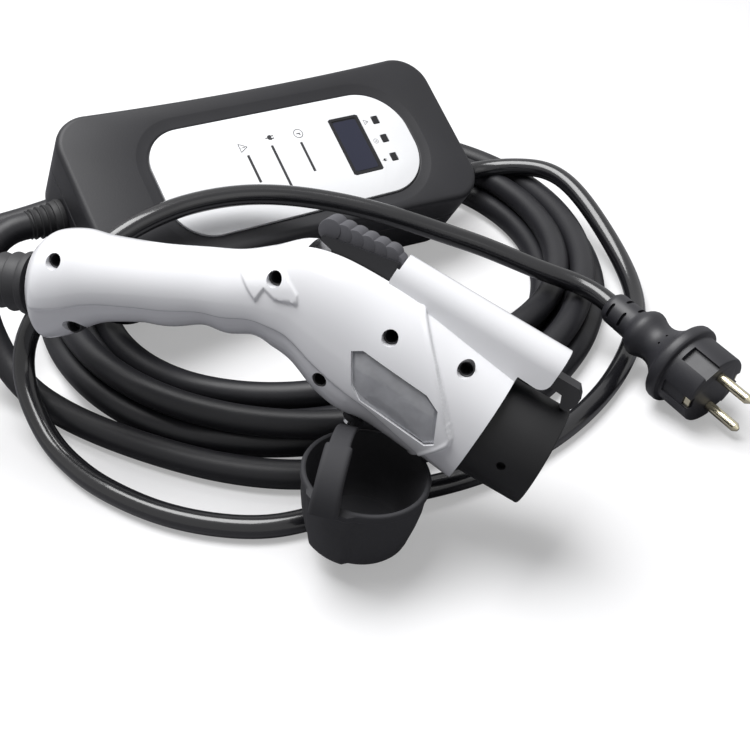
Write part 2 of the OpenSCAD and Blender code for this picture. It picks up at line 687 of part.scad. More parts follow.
module plug_pins() color([0.8, 0.8, 0.78]) at_plug()
    for (x = [-pin_step / 2, pin_step / 2]) translate([x, 0, plug_face - 12]) {
        cylinder(r = shank_r, h = shank_l + eps);
        translate([0, 0, shank_l]) cylinder(r = pin_r, h = 12 - shank_l + pin_l - 2);
        translate([0, 0, 12 + pin_l - 2 - eps]) cylinder(r1 = pin_r, r2 = pin_r - 1.4, h = 2);
    }

module earth_clips() color([0.82, 0.82, 0.8]) at_plug() for (s = [-1, 1])
    translate([-2.7, s > 0 ? plug_r - 3 : -plug_r + 2, 4]) cube([5.4, 1, plug_face - 4.6]);

// Cables. The points are the middle line of each cable, chosen by hand.
coil_w = coil_turns * ev_d;
coil_out_r = coil_in_r - ev_d / 2 + coil_w;
rider_r = coil_out_r - ev_d;

lead_points = [
    [156.6, 3.2, 28.5], [151.4, 10.4, 29.8], [142.5, 17.3, 31.6], [132, 21.2, 33.6], [119, 24.2, 37.2],
    [105, 27.8, 42], [91, 30.5, 47], [79, 31.4, 51], [67.5, 32.6, 54.8], [53, 34, 59.6],
    [38, 35.4, 64], [20, 36.9, 68], [1, 36.4, 72], [-16.5, 33, 75.4], [-30.5, 28, 77.8],
    [-44, 21, 79.5], [-57, 12.3, 80.6], [-67.5, 3, 80.8], [-77, -6, 80], [-86.5, -15.5, 77.5],
    [-96.5, -25, 72.5], [-106.5, -31.5, 65.5], [-116.5, -35.5, 56.5], [-124.5, -37.5, 45.5],
    [-129.5, -41, 33.5], [-129.5, -48.5, 23.5], [-124.5, -59.5, 16], [-117.5, -70.5, 9.8],
    [-109, -81.5, 6.4], [-97, -93.6, 5.4], [-85, -104, 5.4], [-61, -118.5, 5.4], [-38.5, -126, 5.4],
    [-17, -128.8, 5.4], [-1, -127, 5.4], [13, -121.6, 5.4], [27, -115.4, 5.4], [45, -108.8, 5.4],
    [66, -102.4, 5.4], [80, -97, 5.4], [95, -89.5, 5.4], [114, -77, 5.4], [133, -59, 5.4], [149, -39, 5.4],
    [162, -17, 5.4], [172, 6, 5.4], [178, 30, 5.8], [179, 52, 7.6], [175, 73, 12], [168.5, 91, 18],
    [161.5, 106, 24], [154.5, 119, 28.6], [147, 130, 31.4], [137.5, 138.8, 32], [125.5, 144, 30.6],
    [112, 148.6, 27.8], [98.4, 147.2, 26.7], [90.9, 142.2, 27.4]];

box_lead_points = [
    [-136.4, 21.9, 63.9], [-143.9, 16.9, 64.6], [-151, 10.5, 61], [-156, 2.5, 54.5], [-157, -6.5, 45],
    [-154.5, -15, 34.5], [-149, -23.5, 23.5], [-141, -32.5, 14], [-130.5, -42, 8.6], [-118, -51.5, 7],
    [-102, -62.5, 6.9], [-83, -73, 6.9], [-60, -83.5, 6.9], [-34, -93, 6.9], [-6, -98.2, 6.9],
    [22, -97, 6.9], [48, -86, 6.9]];

handle_lead_points = [
    [-166.8, -42.8, 80.6], [-180, -39.5, 80.1], [-196, -33.6, 76.2], [-213.5, -23, 69.6], [-229, -7, 60],
    [-238.5, 13, 48.5], [-241, 35, 36.5], [-236, 57, 25.5], [-226, 77, 16.4], [-211, 95, 10],
    [-193, 110, 7.3], [-174, 122, 6.9], [-157, 134, 6.9], [-143, 150, 6.9], [-130, 165, 6.9],
    [-113, 175, 6.9], [-95, 176, 6.9]];

module mains_lead() color([0.1, 0.1, 0.11]) on_table() tube(lead_points, lead_d / 2, 8);

module ev_lead_box() color([0.13, 0.13, 0.14]) on_table() tube(box_lead_points, ev_d / 2, 10);

module ev_lead_handle() color([0.13, 0.13, 0.14]) on_table() tube(handle_lead_points, ev_d / 2, 10);

// Outer shape of the coil: flat turns on the floor and one turn lying on them.
module ev_coil() color([0.13, 0.13, 0.14]) on_table() translate(coil_at) rotate_extrude($fn = 72) {
    translate([coil_in_r, ev_d / 2]) circle(r = ev_d / 2, $fn = 24);
    translate([coil_out_r - ev_d / 2, ev_d / 2]) circle(r = ev_d / 2, $fn = 24);
    translate([coil_in_r, 0]) square([coil_w - ev_d, ev_d]);
    translate([rider_r - ev_d / 2, ev_d - 2]) square([ev_d, 8]);
    translate([rider_r, ev_d * 1.366]) circle(r = ev_d / 2, $fn = 24);
}

box_base();
box_cover();
box_seal();
faceplate();
lcd_window();
lcd_module();
lamp_windows();
circuit_board();
relays();
leakage_coil();
box_screws();
mains_gland();
ev_gland();
handle_near();
handle_far();
handle_screws();
window_near();
window_far();
nose_collar();
contact_block();
nose_seal();
power_sockets();
earth_socket();
signal_sockets();
latch_lever();
thumb_button();
latch_pin();
latch_spring();
latch_switch();
cord_clamp();
cable_boot();
dust_cap();
cap_pin();
plug_body();
plug_pins();
earth_clips();
mains_lead();
ev_coil();
ev_lead_box();
ev_lead_handle();
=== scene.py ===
# %% [markdown]
# A portable charging lead for an electric car, dressed for its picture: a dark
# control box with a white front plate, a white gun-shaped connector with a
# thumb latch and a dust cap on a tether, a mains plug, and two cables in loops.
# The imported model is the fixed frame, and each new piece is worked out from
# the same sizes in millimetres, so it lands where the solid part is.

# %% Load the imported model
import json
import math
import bpy
import bmesh
import numpy as np
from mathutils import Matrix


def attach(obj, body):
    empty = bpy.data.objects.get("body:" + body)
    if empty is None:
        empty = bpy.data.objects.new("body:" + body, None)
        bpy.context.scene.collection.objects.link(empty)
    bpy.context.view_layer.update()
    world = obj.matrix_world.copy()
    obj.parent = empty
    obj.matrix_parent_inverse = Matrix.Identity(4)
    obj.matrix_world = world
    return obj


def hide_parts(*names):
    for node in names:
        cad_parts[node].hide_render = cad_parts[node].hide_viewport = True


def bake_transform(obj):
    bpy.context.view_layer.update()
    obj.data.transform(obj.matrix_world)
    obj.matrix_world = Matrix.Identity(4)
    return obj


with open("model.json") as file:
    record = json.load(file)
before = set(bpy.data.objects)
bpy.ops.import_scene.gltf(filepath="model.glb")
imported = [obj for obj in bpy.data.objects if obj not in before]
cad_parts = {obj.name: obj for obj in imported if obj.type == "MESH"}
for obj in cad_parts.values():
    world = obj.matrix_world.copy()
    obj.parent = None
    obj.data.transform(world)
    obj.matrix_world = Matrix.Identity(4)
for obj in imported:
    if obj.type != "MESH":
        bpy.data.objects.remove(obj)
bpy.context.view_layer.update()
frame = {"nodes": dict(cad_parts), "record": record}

# %% [markdown]
# Every size below is in millimetres on the real object. Five places carry the
# pieces: the table, the box that leans on the coil, the connector, its cap and
# the plug. A place is a turn about x, then y, then z, and a shift.

# %% Places on the table
MM = 0.001
FOOTPRINT = np.array([-24.46, 9.28, 0.0])


def turned(rx, ry, rz):
    """Rotation matrix for a turn about x, then y, then z, in degrees."""
    (a, b, c), (s, t, u) = np.cos(np.radians([rx, ry, rz])), np.sin(np.radians([rx, ry, rz]))
    about_x = np.array([[1, 0, 0], [0, a, -s], [0, s, a]])
    about_y = np.array([[b, 0, t], [0, 1, 0], [-t, 0, b]])
    about_z = np.array([[c, -u, 0], [u, c, 0], [0, 0, 1]])
    return about_z @ about_y @ about_x


PLACES = {
    "table": (np.eye(3), [0, 0, 0]),
    "box": (turned(33, 4.5, 33.5), [-11.9, 69.9, 75.88]),
    "gun": (turned(-23, 24, -24.6), [105.1, -128, 46.8]),
    "cap": (turned(-2, 8, 0), [33.6, -132.6, 43]),
    "plug": (turned(0, 98, -54), [185.7, -36.9, 21.5]),
}


def moved(points, place):
    """Points of a place in mm, moved to where it lies: turn * point + shift."""
    turn, at = PLACES[place]
    return np.asarray(points, float) @ turn.T + np.array(at)


def on_table(points, place):
    """The same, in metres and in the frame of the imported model."""
    return (moved(points, place) - FOOTPRINT) * MM


print("places", ", ".join(PLACES))

# %% [markdown]
# The camera comes next, at the height and distance of the photograph. It looks
# down by 39 degrees, and its lens and place were matched to the corners of the
# box, the nose of the connector and the plug. The view transform Standard shows
# each colour as it is written.

# %% Camera
def add_object(name, data):
    """An object with its data, linked into the scene."""
    thing = bpy.data.objects.new(name, data)
    bpy.context.scene.collection.objects.link(thing)
    return thing


LOOKS_DOWN = 39
camera_data = bpy.data.cameras.new("camera")
camera_data.lens, camera_data.sensor_width = 53.76, 36
camera_data.clip_start, camera_data.clip_end = 0.01, 20
camera = add_object("camera", camera_data)
camera.location = (0.06146, -0.46928, 0.358)
camera.rotation_euler = (math.radians(90 - LOOKS_DOWN), 0, 0)
bpy.context.scene.camera = camera
bpy.context.scene.view_settings.view_transform = "Standard"
print("camera looks down by", LOOKS_DOWN, "degrees")


# %% [markdown]
# Colours are written as they look on a screen, and one function turns them
# into the linear light that Blender works in. A second small function adds a
# node, sets its values and links its inputs.

# %% Colour and node helpers
def linear(hex_colour):
    """Screen colour such as #2b2b2f to linear red, green, blue and alpha."""
    c = np.array([int(hex_colour[i:i + 2], 16) for i in (1, 3, 5)]) / 255
    c = np.where(c <= 0.04045, c / 12.92, ((c + 0.055) / 1.055) ** 2.4)
    return (float(c[0]), float(c[1]), float(c[2]), 1.0)


def add_node(tree, kind, settings=None, **inputs):
    """Adds a node. Settings are its properties. Inputs are values or other nodes' sockets; each goes by its
    socket's name, with _ for a space, or by its number: _0, _1 and so on."""
    node = tree.nodes.new(kind)
    for key, value in (settings or {}).items():
        setattr(node, key, value)
    for key, value in inputs.items():
        socket = node.inputs[int(key[1:]) if key[0] == "_" else key.replace("_", " ")]
        if isinstance(value, bpy.types.NodeSocket):
            tree.links.new(value, socket)
        else:
            socket.default_value = value
    return node


def fresh_material(name):
    """An empty material with an output and a surface shader, and its node tree."""
    material = bpy.data.materials.new(name)
    material.use_nodes = True
    tree = material.node_tree
    tree.nodes.clear()
    surface = tree.nodes.new("ShaderNodeBsdfPrincipled")
    output = tree.nodes.new("ShaderNodeOutputMaterial")
    tree.links.new(surface.outputs["BSDF"], output.inputs["Surface"])
    return material, tree, surface


# %% [markdown]
# Most of the lead is moulded plastic or rubber. Real mouldings show three
# things: a faint unevenness of tone, a grain cut into the mould, and a gloss
# that is a little rubbed in places. Pictures of such surfaces could be laid on,
# but nodes need no pictures and leave no seams. So one function makes a
# moulding from its two tones, its gloss, and the size and depth of its grain in
# millimetres. Real grain is about a tenth of a millimetre wide, too fine to
# show from here, so it is drawn several times as coarse.

# %% Moulded plastics and rubbers
def moulding(name, tone, worn_and_reflected_tone, gloss, gloss_change, grain_mm, grain_depth_mm, blotch_mm,
             coat=0.0, ior=1.5, metal=0.0):
    """Plastic, rubber or plating. A slow noise, blotch_mm wide, mixes the two tones and moves the roughness from
    gloss - gloss_change to gloss + gloss_change; a fine noise, grain_mm wide, is the bump."""
    material, tree, surface = fresh_material(name)
    where = add_node(tree, "ShaderNodeTexCoord").outputs["Object"]
    blotch = add_node(tree, "ShaderNodeTexNoise", Vector=where, Scale=1000 / blotch_mm, Detail=3.0, Roughness=0.6)
    mix = add_node(tree, "ShaderNodeMix", {"data_type": "RGBA"}, Factor=blotch.outputs["Fac"])
    mix.inputs["A"].default_value = linear(tone)
    # The second tone is a random unevenness on most pieces, and a painted reflection on the grey window.
    mix.inputs["B"].default_value = linear(worn_and_reflected_tone)
    tree.links.new(mix.outputs["Result"], surface.inputs["Base Color"])
    rough = add_node(tree, "ShaderNodeMapRange", Value=blotch.outputs["Fac"],
                     To_Min=gloss - gloss_change, To_Max=gloss + gloss_change)
    tree.links.new(rough.outputs["Result"], surface.inputs["Roughness"])
    if grain_depth_mm:
        grain = add_node(tree, "ShaderNodeTexNoise", Vector=where, Scale=1000 / grain_mm, Detail=2.0)
        bump = add_node(tree, "ShaderNodeBump", Strength=1.0, Distance=grain_depth_mm * MM,
                        Height=grain.outputs["Fac"])
        tree.links.new(bump.outputs["Normal"], surface.inputs["Normal"])
    for socket, value in {"IOR": ior, "Metallic": metal, "Coat Weight": coat, "Coat Roughness": 0.06}.items():
        surface.inputs[socket].default_value = value
    return material


PAINTS = {
    # Glass-filled polyamide from a spark-eroded mould: near black, with a fine dull grain.
    "case_black": moulding("spark_eroded_polyamide", "#1e1e21", "#26262a", 0.5, 0.05, 0.9, 0.03, 30, ior=1.42),
    # Satin white plastic plate: very even, with a wide soft gleam.
    "plate_white": moulding("satin_white_plate", "#f3f4f6", "#eeeff2", 0.34, 0.04, 0.6, 0.004, 40),
    # Polished acrylic over the display: deep blue-black, with sharp reflections.
    "display_dark": moulding("polished_display_window", "#23263a", "#1d2033", 0.12, 0.02, 2, 0, 30),
    # Smoked acrylic of the lamp lenses and the display's frame: almost black while nothing shines through.
    "lamp_dark": moulding("smoked_lamp_lens", "#17171a", "#1f1f23", 0.18, 0.03, 2, 0, 10),
    # Lacquer over glass fibre: green, with a slight ripple.
    "board_green": moulding("circuit_board_lacquer", "#12492f", "#1a5a3a", 0.35, 0.05, 1.2, 0.02, 8),
    # Moulded polyester relay cases: plain dull blue.
    "relay_blue": moulding("relay_case_polyester", "#28364f", "#30415e", 0.42, 0.04, 0.6, 0.01, 14),
    # Ferrite potted in resin: rough grey, a little speckled.
    "core_grey": moulding("potted_ferrite", "#4a4a4e", "#3c3c40", 0.6, 0.06, 0.7, 0.03, 9),
    # Closed-cell foam seal: dead black, without any gleam.
    "seal_black": moulding("closed_cell_seal", "#101011", "#161617", 0.8, 0.04, 0.5, 0.03, 10),
    # Zinc-plated steel screws: grey metal with a blurred gleam.
    "screw_steel": moulding("zinc_plated_steel", "#b9babd", "#a5a6aa", 0.32, 0.08, 0.4, 0.004, 6, metal=1.0),
    # Blackened steel screws: dark metal, bright only at the edges.
    "screw_black": moulding("blackened_steel", "#232325", "#343437", 0.4, 0.08, 0.4, 0.004, 5, metal=1.0),
    # Soft moulded rubber of the cable glands: black, with a broad faint gleam.
    "gland_rubber": moulding("soft_gland_rubber", "#1d1d1f", "#262628", 0.6, 0.06, 0.6, 0.03, 12),
    # Polycarbonate blend from a polished mould: white and glossy, with a slow waviness.
    "handle_white": moulding("polished_white_polycarbonate", "#f1f1f4", "#ecedf1", 0.16, 0.03, 18, 0.02, 55,
                             coat=0.35),
    # Tinted acrylic with a hollow behind it, under a sharp gleam: its light and dark drifts of grey are painted
    # reflections.
    "window_grey": moulding("grey_acrylic_painted_reflections", "#7e7f84", "#c4c5ca", 0.1, 0.03, 9, 0.05, 13, coat=0.6),
    # Glass-filled nylon: black and half matt, with a fine grain.
    "nose_black": moulding("glass_filled_nylon", "#161618", "#121214", 0.5, 0.05, 0.8, 0.02, 16, ior=1.4),
    # Moulded silicone seal: smooth brick red.
    "seal_red": moulding("silicone_seal", "#7d3a30", "#8a4437", 0.5, 0.05, 0.5, 0.01, 8),
    # Silver plate over copper alloy: pale warm metal.
    "contact_silver": moulding("silver_plated_contact", "#d8cfb4", "#c7bd9f", 0.25, 0.06, 0.4, 0.003, 5, metal=1.0),
    # Moulded acetal lever: black, with a waxy gleam.
    "lever_black": moulding("moulded_lever_acetal", "#1c1c1f", "#232327", 0.38, 0.05, 0.7, 0.01, 12),
    # Soft-touch rubber over the button: dark grey and powdery.
    "button_grey": moulding("soft_touch_button", "#48484d", "#55555a", 0.66, 0.05, 0.6, 0.03, 9),
    # Ground steel of the latch pin and the spring wire: bright, with a narrow gleam.
    "pin_steel": moulding("ground_steel", "#c2c3c6", "#b2b3b7", 0.25, 0.05, 0.3, 0.002, 6, metal=1.0),
    # Moulded nylon of the switch: black and half matt. In the screw wells the same black sleeves are painted shade.
    "switch_black": moulding("switch_nylon_and_well_shade", "#222225", "#2a2a2d", 0.5, 0.05, 0.6, 0.02, 9),
    # Moulded rubber boot: black, with a soft gleam on each rib.
    "boot_rubber": moulding("ribbed_boot_rubber", "#202023", "#29292c", 0.56, 0.06, 0.7, 0.03, 12),
    # Soft rubber of the dust cap: a dusty dark grey that hardly reflects.
    "cap_rubber": moulding("soft_cap_rubber", "#303033", "#38383b", 0.7, 0.05, 0.8, 0.04, 14, ior=1.38),
    # Moulded soft vinyl: black, with a silky gleam.
    "plug_black": moulding("moulded_plug_vinyl", "#232327", "#2b2b30", 0.46, 0.06, 0.8, 0.03, 14),
    # Nickel plate over drawn brass: pale metal with a warm cast.
    "pin_nickel": moulding("nickel_plated_brass", "#e2dcc6", "#d3caaa", 0.16, 0.05, 0.5, 0.002, 6, metal=1.0),
    # Extruded vinyl sheath: black and shiny, with bright lines along the lead.
    "lead_black": moulding("glossy_vinyl_sheath", "#161619", "#1e1e21", 0.22, 0.04, 2.5, 0.03, 30, coat=0.4),
    # Extruded elastomer sheath: black, duller than the mains lead.
    "cable_black": moulding("matt_elastomer_sheath", "#1b1b1e", "#242428", 0.46, 0.06, 1.5, 0.04, 26, ior=1.42),
    # Screen-printed ink: even black, a little duller than the plate.
    "print_black": moulding("screen_print_ink", "#1b1b1e", "#222226", 0.5, 0.03, 1, 0.004, 12),
}
for entry in frame["record"]["subparts"]:
    node = frame["nodes"][entry["node"]]
    node.data.materials.clear()
    node.data.materials.append(PAINTS[entry["material_slot"]])
print("paints", len(PAINTS))


# %% [markdown]
# A piece is a stack of closed rings, each with the same number of points. One
# function joins neighbouring rings with four-sided faces and closes the ends,
# and another makes the Blender object. Openings are cut with a Boolean
# modifier, because a hole through a curved wall is hard to lay out in rings.
# The last helpers paint a piece, and say which body carries it and which solids
# it stands for.

# %% Meshes from rings
SHARP = 32  # edges that turn by more than this many degrees stay sharp


def ring_faces(rows, columns, looped, start):
    """Faces between closed rings of points that are numbered from start, and a face over each end. With looped,
    the last ring meets the first and there are no ends."""
    i, j = np.meshgrid(np.arange(rows if looped else rows - 1), np.arange(columns), indexing="ij")
    a, b = i * columns + j, i * columns + (j + 1) % columns
    over_a, over_b = ((k + columns) % (rows * columns) for k in (a, b))
    faces = (np.stack([a, b, over_b, over_a], -1).reshape(-1, 4) + start).tolist()
    if not looped:
        first = np.arange(columns) + start
        faces += [first[::-1].tolist(), (first + (rows - 1) * columns).tolist()]
    return faces


def tidy(piece, sharp):
    """Merges doubles, turns the faces outwards, and smooths all but the edges sharper than sharp."""
    work = bmesh.new()
    work.from_mesh(piece.data)
    bmesh.ops.remove_doubles(work, verts=work.verts, dist=1e-6)
    bmesh.ops.recalc_face_normals(work, faces=work.faces)
    work.to_mesh(piece.data)
    work.free()
    piece.data.shade_smooth()
    piece.data.set_sharp_from_angle(angle=math.radians(sharp))


def joined(name, parts, place, sharp=SHARP, looped=None):
    """One object from several closed stacks of rings, each of shape (rows, columns, 3) in mm."""
    points, faces = [], []
    for k, rings in enumerate(parts):
        rings = np.asarray(rings, float)
        faces += ring_faces(*rings.shape[:2], bool(looped and looped[k]), len(points))
        points += on_table(rings, place).reshape(-1, 3).tolist()
    mesh = bpy.data.meshes.new(name)
    mesh.from_pydata(points, [], faces)
    piece = add_object(name, mesh)
    tidy(piece, sharp)
    return piece


def shell(name, rings, place, sharp=SHARP, looped=False):
    """A closed piece from one stack of rings."""
    return joined(name, [rings], place, sharp, [looped])


def combine(piece, other, how="DIFFERENCE", sharp=SHARP):
    """Adds, cuts or keeps the common part of two closed pieces, and removes the second."""
    join = piece.modifiers.new("join", "BOOLEAN")
    join.operation, join.object, join.solver = how, other, "MANIFOLD"
    graph = bpy.context.evaluated_depsgraph_get()
    result = bpy.data.meshes.new_from_object(piece.evaluated_get(graph))
    piece.modifiers.clear()
    piece.data = result
    bpy.data.objects.remove(other)
    tidy(piece, sharp)


def paint(piece, slot):
    """Gives a piece its one material, and prints its name, faces and slot."""
    piece.data.materials.clear()
    piece.data.materials.append(PAINTS[slot])
    print(piece.name, len(piece.data.polygons), "faces in", slot)


def finish_piece(piece, slot, body="root", stands_for=()):
    """Paints a piece, ties it to its body, and hides the solids that it stands for."""
    paint(piece, slot)
    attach(piece, body)
    if stands_for:
        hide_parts(*stands_for)


# %% [markdown]
# The cables come before the rest, because the scene is built round them. The
# charging cable is thick and stiff, and lies in flat turns with one and a half
# more on top. A Blender curve with a round bevel would give such a tube too,
# but here the same array of points gives the tube, its measured length and the
# path that the cord check reads.
# A route is a few given points, as in the solid part, and a cubic B-spline
# rounds them off: its bend never jumps, like a real cable's. A ring of points
# is then carried along it.

# %% Routes and tubes
def distance_along(points):
    """Distance of each point from the first, along the line through them all."""
    return np.concatenate([[0], np.cumsum(np.linalg.norm(np.diff(points, axis=0), axis=1))])


def even_steps(points, count, closed=False):
    """The line through the points as count points in equal steps. A closed line leaves out the last one."""
    along = distance_along(points)
    at = np.linspace(0, along[-1], count, endpoint=not closed)
    return np.stack([np.interp(at, along, column) for column in points.T], 1)


def rounded_route(points, step):
    """Cubic B-spline near the points, through both ends, with a point about every step mm, and its length. One
    stretch is ((1 - t)^3 a + (3 t^3 - 6 t^2 + 4) b + (-3 t^3 + 3 t^2 + 3 t + 1) c + t^3 d) / 6."""
    p = np.asarray(points, float)
    p = np.vstack([p[0], p[0], p, p[-1], p[-1]])
    t = np.linspace(0, 1, 24, endpoint=False)[:, None, None]
    a, b, c, d = p[:-3], p[1:-2], p[2:-1], p[3:]
    curve = ((1 - t) ** 3 * a + (3 * t ** 3 - 6 * t ** 2 + 4) * b
             + (-3 * t ** 3 + 3 * t ** 2 + 3 * t + 1) * c + t ** 3 * d) / 6
    curve = np.vstack([curve.transpose(1, 0, 2).reshape(-1, 3), p[-1]])
    length = float(distance_along(curve)[-1])
    return even_steps(curve, int(length / step) + 1), length


def tube_rings(route, radius, sides):
    """Rings square to a route: centre + radius * (cos * side + sin * up)."""
    ahead = np.gradient(route, axis=0)
    ahead /= np.linalg.norm(ahead, axis=1)[:, None]
    side = np.cross(ahead, [0, 0, 1])
    side /= np.linalg.norm(side, axis=1)[:, None]
    up = np.cross(side, ahead)
    a = np.linspace(0, 2 * np.pi, sides, endpoint=False)[None, :, None]
    r = np.broadcast_to(np.asarray(radius, float), (len(route),))[:, None, None]
    return route[:, None] + r * (np.cos(a) * side[:, None] + np.sin(a) * up[:, None])


# %% Charging cable
CABLE_D = 13.6
COIL_AT = np.array([8, 66])
box_lead = [
    [-136.4, 21.9, 63.9], [-143.9, 16.9, 64.6], [-151, 10.5, 61], [-156, 2.5, 54.5], [-157, -6.5, 45],
    [-154.5, -15, 34.5], [-149, -23.5, 23.5], [-141, -32.5, 14], [-130.5, -42, 8.6], [-118, -51.5, 7],
    [-102, -62.5, 6.9], [-83, -73, 6.9], [-60, -83.5, 6.9], [-34, -93, 6.9], [-6, -98.2, 6.9],
    [22, -97, 6.9], [46, -87.5, 6.9]]
handle_lead = [
    [-166.8, -42.8, 80.6], [-180, -39.5, 80.1], [-196, -33.6, 76.2], [-213.5, -23, 69.6], [-229, -7, 60],
    [-238.5, 13, 48.5], [-241, 35, 36.5], [-236, 57, 25.5], [-226, 77, 16.4], [-211, 95, 10],
    [-193, 110, 7.6], [-174, 122, 7.4], [-160, 132, 7.8]]
# Turns of the coil: angle round its middle, radius and height, from the flat
# turns outside to inside, then up on top of them, and off over the edge.
coil_turns = np.array([
    [-62, 153, 6.9], [-50, 151.2, 6.8], [-35, 150.2, 6.8], [245, 150.2, 6.8], [265, 143.4, 6.8],
    [285, 136.6, 6.8], [605, 136.6, 6.8], [625, 129.8, 6.8], [645, 123, 6.8], [935, 123, 6.8],
    [955, 121, 8], [975, 117, 10.5], [990, 114.5, 13], [1005, 113.5, 16.5], [1020, 115.5, 19],
    [1035, 119.5, 20.7], [1050, 124.5, 20.6], [1065, 128.5, 19], [1080, 129.8, 18.6],
    [1180, 129.8, 18.6], [1215, 136.6, 20.5], [1250, 143.4, 18.6], [1520, 143.4, 18.6],
    [1540, 145.5, 19.8], [1552, 149, 20.5], [1563, 153, 20.2], [1573, 157, 18.8], [1582, 162, 16],
    [1590, 167.5, 12.6], [1597, 173, 9.6]])
turn_angle = np.arange(-60, 1598, 9.0)  # a point every 9 degrees
turn_r, turn_z = (np.interp(turn_angle, coil_turns[:, 0], coil_turns[:, k]) for k in (1, 2))
coil_points = np.stack([COIL_AT[0] + turn_r * np.cos(np.radians(turn_angle)),
                        COIL_AT[1] + turn_r * np.sin(np.radians(turn_angle)), turn_z], 1)
cable_route, cable_length = rounded_route(np.vstack([box_lead, coil_points, handle_lead[::-1]]), 4)
charging_cable = shell("charging_cable", tube_rings(cable_route, CABLE_D / 2, 24), "table", 60)
finish_piece(charging_cable, "cable_black", stands_for=("ev_coil", "ev_lead_box", "ev_lead_handle"))
tuple(on_table(box_lead[0], "table"))
on_table(cable_route, "table").tolist()
print("charging cable", round(cable_length), "mm")

# %% [markdown]
# The mains lead is thinner and shinier. It leaves the right end of the box,
# runs round the right side and the front of the coil, climbs at the left
# behind the grip, and lies along the front edge of the box on its way to the
# plug. Its points are written from the plug back to the box and then turned
# round, because a lead's path starts where it leaves the object.

# %% Mains lead
LEAD_D = 10.3
mains_points = [
    [156.6, 3.2, 28.5], [151.4, 10.4, 29.8], [142.5, 17.3, 31.6], [132, 21.2, 33.6], [119, 24.2, 37.2],
    [105, 27.8, 42], [91, 30.5, 47], [79, 31.4, 51], [67.5, 32.6, 54.8], [53, 34, 59.6],
    [38, 35.4, 64], [20, 36.9, 68], [1, 36.4, 72], [-16.5, 33, 75.4], [-30.5, 28, 77.8],
    [-44, 21, 79.5], [-57, 12.3, 80.6], [-67.5, 3, 80.8], [-77, -6, 80], [-86.5, -15.5, 77.5],
    [-96.5, -25, 72.5], [-106.5, -31.5, 65.5], [-116.5, -35.5, 56.5], [-124.5, -37.5, 45.5],
    [-129.5, -41, 33.5], [-129.5, -48.5, 23.5], [-124.5, -59.5, 16], [-117.5, -70.5, 9.8],
    [-109, -81.5, 6.4], [-97, -93.6, 5.4], [-85, -104, 5.4], [-61, -118.5, 5.4], [-38.5, -126, 5.4],
    [-17, -128.8, 5.4], [-1, -127, 5.4], [13, -121.6, 5.4], [27, -115.4, 5.4], [45, -108.8, 5.4],
    [66, -102.4, 5.4], [80, -97, 5.4], [95, -89.5, 5.4], [114, -77, 5.4], [133, -59, 5.4],
    [149, -39, 5.4], [162, -17, 5.4], [172, 6, 5.4], [178, 30, 5.8], [179, 52, 7.6], [175, 73, 12],
    [168.5, 91, 18], [161.5, 106, 24], [154.5, 119, 28.6], [147, 130, 31.4], [137.5, 138.8, 32],
    [125.5, 144, 30.6], [112, 148.6, 27.8], [98.4, 147.2, 26.7], [90.9, 142.2, 27.4]]
mains_route, mains_length = rounded_route(mains_points[::-1], 3)
mains_cable = shell("mains_cable", tube_rings(mains_route, LEAD_D / 2, 24), "table", 60)
finish_piece(mains_cable, "lead_black", stands_for=("mains_lead",))
print("mains lead", round(mains_length), "mm")

# %% [markdown]
# The control box is a moulded case in two halves with a dark seal between
# them. Its outline has round corners, and long sides that bow in a little. A
# cube with a Bevel modifier would miss that bow, so the outline is a function
# of how far it is moved in. The cover runs from that outline in to the outline
# of the white plate, so both need the same number of points: the plate's is
# read off at the angles of the case's.

# %% Outlines of the box
HALF_LONG, HALF_WIDE, CORNER, BOW = 111, 47.5, 19, 2.2
PLATE_AT = np.array([6, -2.4])


def arc(cx, cy, r, a0, a1, n):
    """n points on a circle, from angle a0 to a1 in degrees."""
    a = np.radians(np.linspace(a0, a1, n))
    return np.stack([cx + r * np.cos(a), cy + r * np.sin(a)], 1)


def circle(r, n, at=(0, 0)):
    """n points in equal steps once round a circle."""
    return arc(*at, r, 0, 360 - 360 / n, n)


def case_outline(inset):
    """The box seen from the front, all moved in by inset: round corners, straight short sides, and long sides
    at y = half width - bow * (1 - (x / reach)^2)."""
    reach, rise, r = HALF_LONG - CORNER, HALF_WIDE - CORNER, CORNER - inset
    x = np.linspace(reach, -reach, 62)[1:-1]
    y = np.linspace(rise, -rise, 22)[1:-1]
    long_side = np.column_stack([x, HALF_WIDE - inset - BOW * (1 - (x / reach) ** 2)])
    short_side = np.column_stack([np.full(len(y), inset - HALF_LONG), y])
    half = np.vstack([arc(reach, rise, r, 0, 90, 20), long_side, arc(-reach, rise, r, 90, 180, 20), short_side])
    return np.vstack([half, -half])


def round_box(length, width, r_left, r_right, n):
    """Rectangle with round corners, of one radius at its left end and another at its right, as n points in
    equal steps."""
    corners = ((1, 1, r_right), (-1, 1, r_left), (-1, -1, r_left), (1, -1, r_right))
    p = np.vstack([arc(right * (length / 2 - r), up * (width / 2 - r), r, 90 * k, 90 * k + 90, 30)
                   for k, (right, up, r) in enumerate(corners)])
    return even_steps(np.vstack([p, p[0]]), n, closed=True)


def plate_outline(grow, n=260):
    """The white plate, 152 by 63 mm and rounder at its right end, grown all round."""
    return PLATE_AT + round_box(152 + 2 * grow, 63 + 2 * grow, 21 + grow, 27 + grow, n)


def seen_from_plate(grow):
    """The plate's outline at the angles at which the case's points are seen from the plate's middle."""
    away = case_outline(0) - PLATE_AT
    round_it = plate_outline(grow, 1200) - PLATE_AT
    turn = np.arctan2(round_it[:, 1], round_it[:, 0])
    far = np.interp(np.arctan2(away[:, 1], away[:, 0]), turn, np.hypot(*round_it.T), period=2 * np.pi)
    return PLATE_AT + away / np.hypot(*away.T)[:, None] * far[:, None]


def level(outline, z):
    """A flat outline lifted to a height."""
    return np.column_stack([outline, np.full(len(outline), float(z))])


